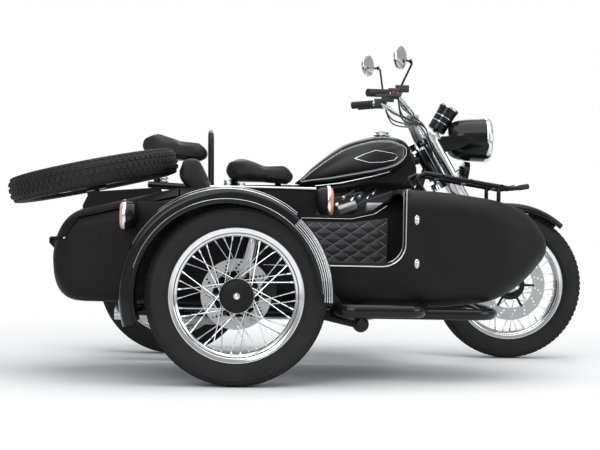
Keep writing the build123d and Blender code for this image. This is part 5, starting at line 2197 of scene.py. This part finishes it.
@dataclass
class TankFittings:
    """What sits on and under the tank: cap, bright strip, frame cover and engine bits."""

    cap_ahead: float = 653.0
    cap_up: float = 974.0
    cap: Profile = (
        (0, 0), (0, 26), (8, 30), (12, 39), (16, 40), (19, 36), (20, 31), (24, 29), (26, 33),
        (29, 34), (32, 30), (35, 20), (37, 8), (37.5, 0),
    )
    grips: int = 10
    grip_depth: float = 0.07
    strip_left: float = 119.0
    cover: Profile = (
        (330, 758), (414, 736), (560, 734), (700, 742), (786, 752), (806, 772), (802, 846),
        (772, 900), (735, 862), (690, 822), (600, 798), (460, 768),
    )
    backing: Profile = (
        (330, 600), (720, 600), (770, 700), (786, 752), (560, 740), (414, 740), (330, 752),
    )
    neck: Profile = ((692, 752), (770, 780), (806, 850), (796, 905), (752, 940), (705, 930))
    badge: Profile = (
        (519, 876), (560, 896), (612, 914), (700, 900), (706, 888), (694, 874), (640, 862),
        (580, 860), (519, 876),
    )
    throttle_left: float = 118.0
    # Each row holds a fitting's start ahead and up, its length and its radius.
    fittings: tuple[tuple[float, float, float, float], ...] = (
        (440, 668, 34, 7), (470, 700, 26, 9), (505, 690, 40, 5.5), (540, 706, 24, 8),
        (575, 700, 30, 4.5), (418, 690, 22, 6), (600, 720, 28, 5),
    )
    # Each row holds a hose's start, its middle and its end, seen from the side.
    hoses: tuple[Profile, ...] = (
        ((420, 660), (470, 720), (560, 728)), ((440, 640), (520, 640), (590, 720)),
        ((500, 655), (560, 690), (690, 735)), ((400, 700), (450, 690), (520, 735)),
    )

    def build(self) -> None:
        """Build the cap, the trims, the badges and the parts under the tank."""
        self._cap()
        self._trims()
        self._badge()
        self._throttles()

    def _cap(self) -> None:
        """Turn the filler cap and press the grips into its rim."""
        foot = place(self.cap_ahead, BIKE_LEFT, self.cap_up)
        cap = lathe("cap", self.cap, foot, UP, 64)
        for vertex in cap.data.vertices:
            offset = vertex.co - foot
            angle = math.atan2(offset.y, offset.x)
            if 0.0235 < offset.z < 0.033 and math.hypot(offset.x, offset.y) > 0.02:
                wave = 1 - self.grip_depth * (0.5 + 0.5 * math.cos(angle * self.grips))
                vertex.co.x = foot.x + offset.x * wave
                vertex.co.y = foot.y + offset.y * wave
        finish_piece(cap, "filler_cap", Body.MACHINE, CHROME, ("fuel_cap",), 40)

    def _trims(self) -> None:
        """Lay the bright strips and set the black covers under the tank."""
        strips = []
        covers = []
        for side in SIDES:
            left = BIKE_LEFT + side * self.strip_left
            route = (
                (352, BIKE_LEFT + side * 74, 754), (460, left - side * 14, 768),
                (600, left, 800), (676, left + side * 2, 822),
            )
            strips.append(pipe(f"strip_{side}", route, 3.0, 60))
            covers.append(plate(f"cover_{side}", self.cover, BIKE_LEFT + side * 62, 5, 0.0015))
        finish_group(strips, "tank_strips", Body.MACHINE, TRIM_CHROME, (), 60)
        finish_group(covers, "frame_covers", Body.MACHINE, GLOSS_BLACK, (), 40)
        middle = [
            plate("backing", self.backing, BIKE_LEFT, 44, 0.002),
            plate("neck", self.neck, BIKE_LEFT, 46, 0.003),
        ]
        finish_group(middle, "neck_cover", Body.MACHINE, INTAKE_BLACK, (), 40)

    def _badge(self) -> None:
        """Set a plain bright edge on each side of the tank."""
        tank = FuelTank()
        borders = []
        for side in SIDES:
            spots = []
            for first, second in zip(self.badge, self.badge[1:]):
                for step in range(6):
                    ahead = first[0] + (second[0] - first[0]) * step / 6
                    up = first[1] + (second[1] - first[1]) * step / 6
                    reach = tank.side_at(ahead, up, 2.0)
                    spots.append(place(ahead, BIKE_LEFT + side * reach, up))
            spots.append(spots[0])
            borders.append(bar(f"badge_{side}", spots, 0.0017, 1))
        finish_group(borders, "tank_badges", Body.MACHINE, TRIM_CHROME, (), 60)

    def _throttles(self) -> None:
        """Set the throttle bodies, their fittings and hoses beside the air box."""
        cast = []
        bright = []
        hoses = []
        for side in SIDES:
            left = BIKE_LEFT + side * self.throttle_left
            cast += [
                brick(f"cover_{side}", place(612, left, 664), (0.084, 0.05, 0.046), 0.012),
                round_bar(f"throttle_{side}", (452, left, 650), (530, left, 676), 22, 3),
            ]
            for ahead, up, long, radius in self.fittings:
                start = (ahead, left - 14, up)
                end = (ahead + long * 0.6, left + 14, up + long * 0.8)
                bright.append(round_bar(f"fitting_{side}", start, end, radius, 2))
            for start, dip, end in self.hoses:
                spots = (
                    place(start[0], left, start[1]), place(dip[0], left + side * 18, dip[1]),
                    place(end[0], left, end[1]),
                )
                hoses.append(bar(f"hose_{side}", spots, 0.0042, 2, bend=True))
        finish_group(cast, "throttle_bodies", Body.MACHINE, BARE_ALLOY, (), 40)
        finish_group(bright, "throttle_fittings", Body.MACHINE, CHROME, (), 40)
        finish_group(hoses, "engine_hoses", Body.MACHINE, INTAKE_BLACK, (), 60)


@dataclass
class Studio:
    """The photograph's camera, a pale floor and plain soft lights."""

    camera_place: Point = (-0.4005, -5.5205, 0.624)
    yaw: float = 3.39
    pitch: float = -0.43
    roll: float = 1.14
    lens: float = 79.66
    room_light: tuple[float, float, float, float] = (0.9, 0.92, 0.95, 1.0)
    # Each row says how high a reflection looks, and how bright the room is there.
    shine: Profile = (
        (0.0, 0.55), (1.0, 0.10), (0.06, 0.06), (0.42, 0.05), (0.60, 0.75), (0.74, 0.75),
        (0.86, 0.10),
    )
    # Each row holds a soft box's name, place, target, size and power.
    boxes: tuple[tuple[str, Point, Point, float, float], ...] = (
        ("soft_top", (0.2, -0.6, 3.6), (0.0, 0.0, 0.3), 4.2, 115.0),
        ("soft_near", (-1.8, -4.2, 2.6), (0.0, 0.0, 0.5), 2.6, 70.0),
        ("soft_ahead", (4.2, -2.2, 2.0), (0.3, 0.0, 0.5), 2.4, 55.0),
        ("soft_far", (0.0, 4.0, 2.6), (0.0, 0.0, 0.5), 3.0, 50.0),
    )

    def build(self) -> None:
        """Set up the camera, lights, floor and background."""
        self._camera()
        self._lights()
        self._world()
        self._floor()
        bpy.context.scene.view_settings.view_transform = "Standard"

    def _camera(self) -> None:
        """Stand the camera where the photograph was taken."""
        yaw, pitch, roll = (math.radians(a) for a in (self.yaw, self.pitch, self.roll))
        ahead = Vector(
            (math.sin(yaw) * math.cos(pitch), math.cos(yaw) * math.cos(pitch), math.sin(pitch))
        )
        right = Vector((math.cos(yaw), -math.sin(yaw), 0.0))
        up = right.cross(ahead)
        turned_right = right * math.cos(roll) + up * math.sin(roll)
        turned_up = -right * math.sin(roll) + up * math.cos(roll)
        basis = Matrix((turned_right, turned_up, -ahead)).transposed()
        data = bpy.data.cameras.new("photo_camera")
        data.lens = self.lens
        data.sensor_width = 36.0
        data.clip_end = 60.0
        camera = hang("photo_camera", data)
        camera.matrix_world = Matrix.Translation(self.camera_place) @ basis.to_4x4()
        bpy.context.scene.camera = camera

    def _lights(self) -> None:
        """Hang soft boxes over, ahead of and beside the machine."""
        for name, spot, target, size, power in self.boxes:
            data = bpy.data.lights.new(name, "AREA")
            data.shape = "SQUARE"
            data.size = size
            data.energy = power
            lamp = hang(name, data)
            lamp.location = spot
            way = Vector(target) - Vector(spot)
            lamp.rotation_euler = way.to_track_quat("-Z", "Y").to_euler()

    def _world(self) -> None:
        """Light the scene evenly and show white where nothing stands."""
        world = bpy.data.worlds.new("pale_room")
        bpy.context.scene.world = world
        world.use_nodes = True
        tree = world.node_tree
        tree.nodes.clear()
        out = add_node(tree, "OutputWorld")
        glow = add_node(tree, "Background", {"Color": self.room_light, "Strength": 0.42})
        white = add_node(tree, "Background", {"Color": (1.0, 1.0, 1.0, 1.0), "Strength": 1.0})
        path = add_node(tree, "LightPath")
        coords = add_node(tree, "TexCoord")
        parts = add_node(tree, "SeparateXYZ")
        band = add_node(tree, "ValToRGB")
        ramp = band.color_ramp
        ramp.interpolation = "EASE"
        for spot, grey in self.shine:
            element = ramp.elements[int(spot)] if spot in (0.0, 1.0) else ramp.elements.new(spot)
            element.position = spot
            element.color = (grey, grey, grey, 1.0)
        shine = add_math(tree, "MULTIPLY")
        seen = add_math(tree, "MAXIMUM")
        either = add_math(tree, "MAXIMUM")
        mix = add_node(tree, "MixShader")
        wire(coords, "Generated", parts, 0)
        wire(parts, "Z", band, "Fac")
        wire(path, "Is Glossy Ray", shine, 0)
        wire(band, "Color", shine, 1)
        wire(path, "Is Camera Ray", seen, 0)
        wire(path, "Is Transmission Ray", seen, 1)
        wire(seen, 0, either, 0)
        wire(shine, 0, either, 1)
        wire(either, 0, mix, "Fac")
        wire(glow, 0, mix, 1)
        wire(white, 0, mix, 2)
        wire(mix, 0, out, "Surface")

    def _floor(self) -> None:
        """Lay a pale floor that fades into the white background."""
        clear_selection()
        bpy.ops.mesh.primitive_plane_add(size=24.0, location=(0.0, 4.0, -0.0005))
        floor = bpy.context.object
        floor.name = "studio_floor"
        bake_place(floor)
        floor.data.materials.append(self._floor_material())

    def _floor_material(self) -> bpy.types.Material:
        """Make a floor that keeps the shadow near the machine and fades to white farther out.

        Returns:
            The floor's material.
        """
        made = bpy.data.materials.new("studio_floor")
        made.use_nodes = True
        tree = made.node_tree
        tree.nodes.clear()
        shader = add_node(tree, "BsdfPrincipled", {
            "Base Color": (0.88, 0.885, 0.89, 1.0), "Roughness": 0.8, "Specular IOR Level": 0.1,
        })
        white = add_node(tree, "Emission", {"Strength": 1.0})
        coords = add_node(tree, "TexCoord")
        mapping = add_node(tree, "Mapping", {"Scale": (0.42, 0.42, 1.0)})
        distance = add_node(tree, "VectorMath")
        distance.operation = "LENGTH"
        fade = add_node(tree, "MapRange", {"From Min": 0.45, "From Max": 1.15})
        fade.interpolation_type = "SMOOTHSTEP"
        path = add_node(tree, "LightPath")
        seen = add_math(tree, "MULTIPLY")
        mix = add_node(tree, "MixShader")
        wire(coords, "Object", mapping, "Vector")
        wire(mapping, "Vector", distance, 0)
        wire(distance, "Value", fade, "Value")
        wire(fade, "Result", seen, 0)
        wire(path, "Is Camera Ray", seen, 1)
        wire(seen, 0, mix, "Fac")
        wire(shader, "BSDF", mix, 1)
        wire(white, "Emission", mix, 2)
        wire(mix, "Shader", add_node(tree, "OutputMaterial"), "Surface")
        return made


PLAIN_NODES = (
    DressedNode("fork", Body.STEERING, CHROME),
    DressedNode("grips", Body.STEERING, GRIP_RUBBER),
    DressedNode("controls", Body.STEERING, CONTROL_BLACK),
    DressedNode("horn", Body.STEERING, GLOSS_BLACK),
    DressedNode("front_caliper", Body.STEERING, BARE_ALLOY),
    DressedNode("engine", Body.MACHINE, BARE_ALLOY, 0.003),
    DressedNode("drive", Body.MACHINE, BARE_ALLOY, 0.002),
    DressedNode("cylinders", Body.MACHINE, BARE_ALLOY, 0.001),
    DressedNode("intake", Body.MACHINE, INTAKE_BLACK),
    DressedNode("swing_arm", Body.MACHINE, GLOSS_BLACK),
    DressedNode("shocks", Body.MACHINE, CHROME),
    DressedNode("tail_lamp", Body.MACHINE, TAIL_RED),
    DressedNode("saddle_frames", Body.MACHINE, GLOSS_BLACK),
    DressedNode("struts", Body.MACHINE, GLOSS_BLACK),
    DressedNode("side_swing_arm", Body.MACHINE, GLOSS_BLACK),
    DressedNode("coaming", Body.MACHINE, WELT_BLACK),
    DressedNode("spare_carrier", Body.LID, GLOSS_BLACK),
)


def spare_axle() -> Vector:
    """Give the direction of the tipped spare wheel's axle."""
    tilt = math.radians(12.2)
    return Vector((-math.sin(tilt), 0.0, math.cos(tilt)))


def build_wheels() -> None:
    """Build the four tyres and the four wire wheels."""
    spots = (
        ("front", Body.FRONT_WHEEL, place(FRONT_AHEAD, BIKE_LEFT, TYRE_R), LEFT, TYRE_RUBBER),
        ("rear", Body.REAR_WHEEL, place(REAR_AHEAD, BIKE_LEFT, TYRE_R), LEFT, TYRE_RUBBER),
        ("sidecar", Body.SIDECAR_WHEEL, place(0, 0, TYRE_R), LEFT, TYRE_RUBBER),
        ("spare", Body.LID, place(-557, BODY_LEFT, 760), spare_axle(), SPARE_RUBBER),
    )
    for name, body, centre, axle, rubber in spots:
        Tyre(f"{name}_tyre", body, centre, axle, rubber).build()
        WireWheel(f"{name}_rim", body, centre, axle).build()


PADS = (
    PaddedPart("driver_saddle"),
    PaddedPart("pillion_saddle"),
    PaddedPart("seat_cushion", cap=0.008, voxel=0.01),
    PaddedPart("backrest", cap=0.010, voxel=0.008),
)


def build_fenders() -> None:
    """Build the three mudguards."""
    Fender(
        "side_fender", Body.MACHINE, place(-36, 0, 332),
        arc_section(81, 332, 362, 387), 90, 108,
        ridges=((-80.6, 346), (-70, 375.5), (70, 375.5), (80.6, 346)),
    ).build()
    Fender(
        "rear_fender", Body.MACHINE, place(REAR_AHEAD, BIKE_LEFT, TYRE_R),
        arc_section(81, 339, 350, 381), 38, 104,
    ).build()
    Fender(
        "front_fender", Body.STEERING, place(FRONT_AHEAD, BIKE_LEFT, TYRE_R),
        arc_section(65, 339, 344, 367), 41, 92,
    ).build()


def main() -> None:
    """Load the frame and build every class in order."""
    logging.basicConfig(level=logging.INFO, format="%(message)s")
    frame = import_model()
    for piece in PLAIN_NODES:
        piece.build(frame)
    for pad in PADS:
        pad.build(frame)
    build_wheels()
    build_fenders()
    FuelTank().build()
    QuiltedPanel().build()
    Headlamp().build()
    SidecarHull().build()
    CockpitTrim().build()
    FenderStrip(place(-36, 0, 332)).build()
    SmoothTubes().build()
    TankFittings().build()
    BrakeDisc("front_disc", Body.FRONT_WHEEL, "front_disc", FRONT_AHEAD,
              BIKE_LEFT - 57.5, 157).build()
    BrakeDisc("sidecar_disc", Body.SIDECAR_WHEEL, "sidecar_disc", 0, 57.5, 130).build()
    HubCap().build()
    SaddleSprings().build()
    EngineDress().build()
    Cockpit().build()
    SideLamps().build()
    Studio().build()


if __name__ == "__main__":
    main()
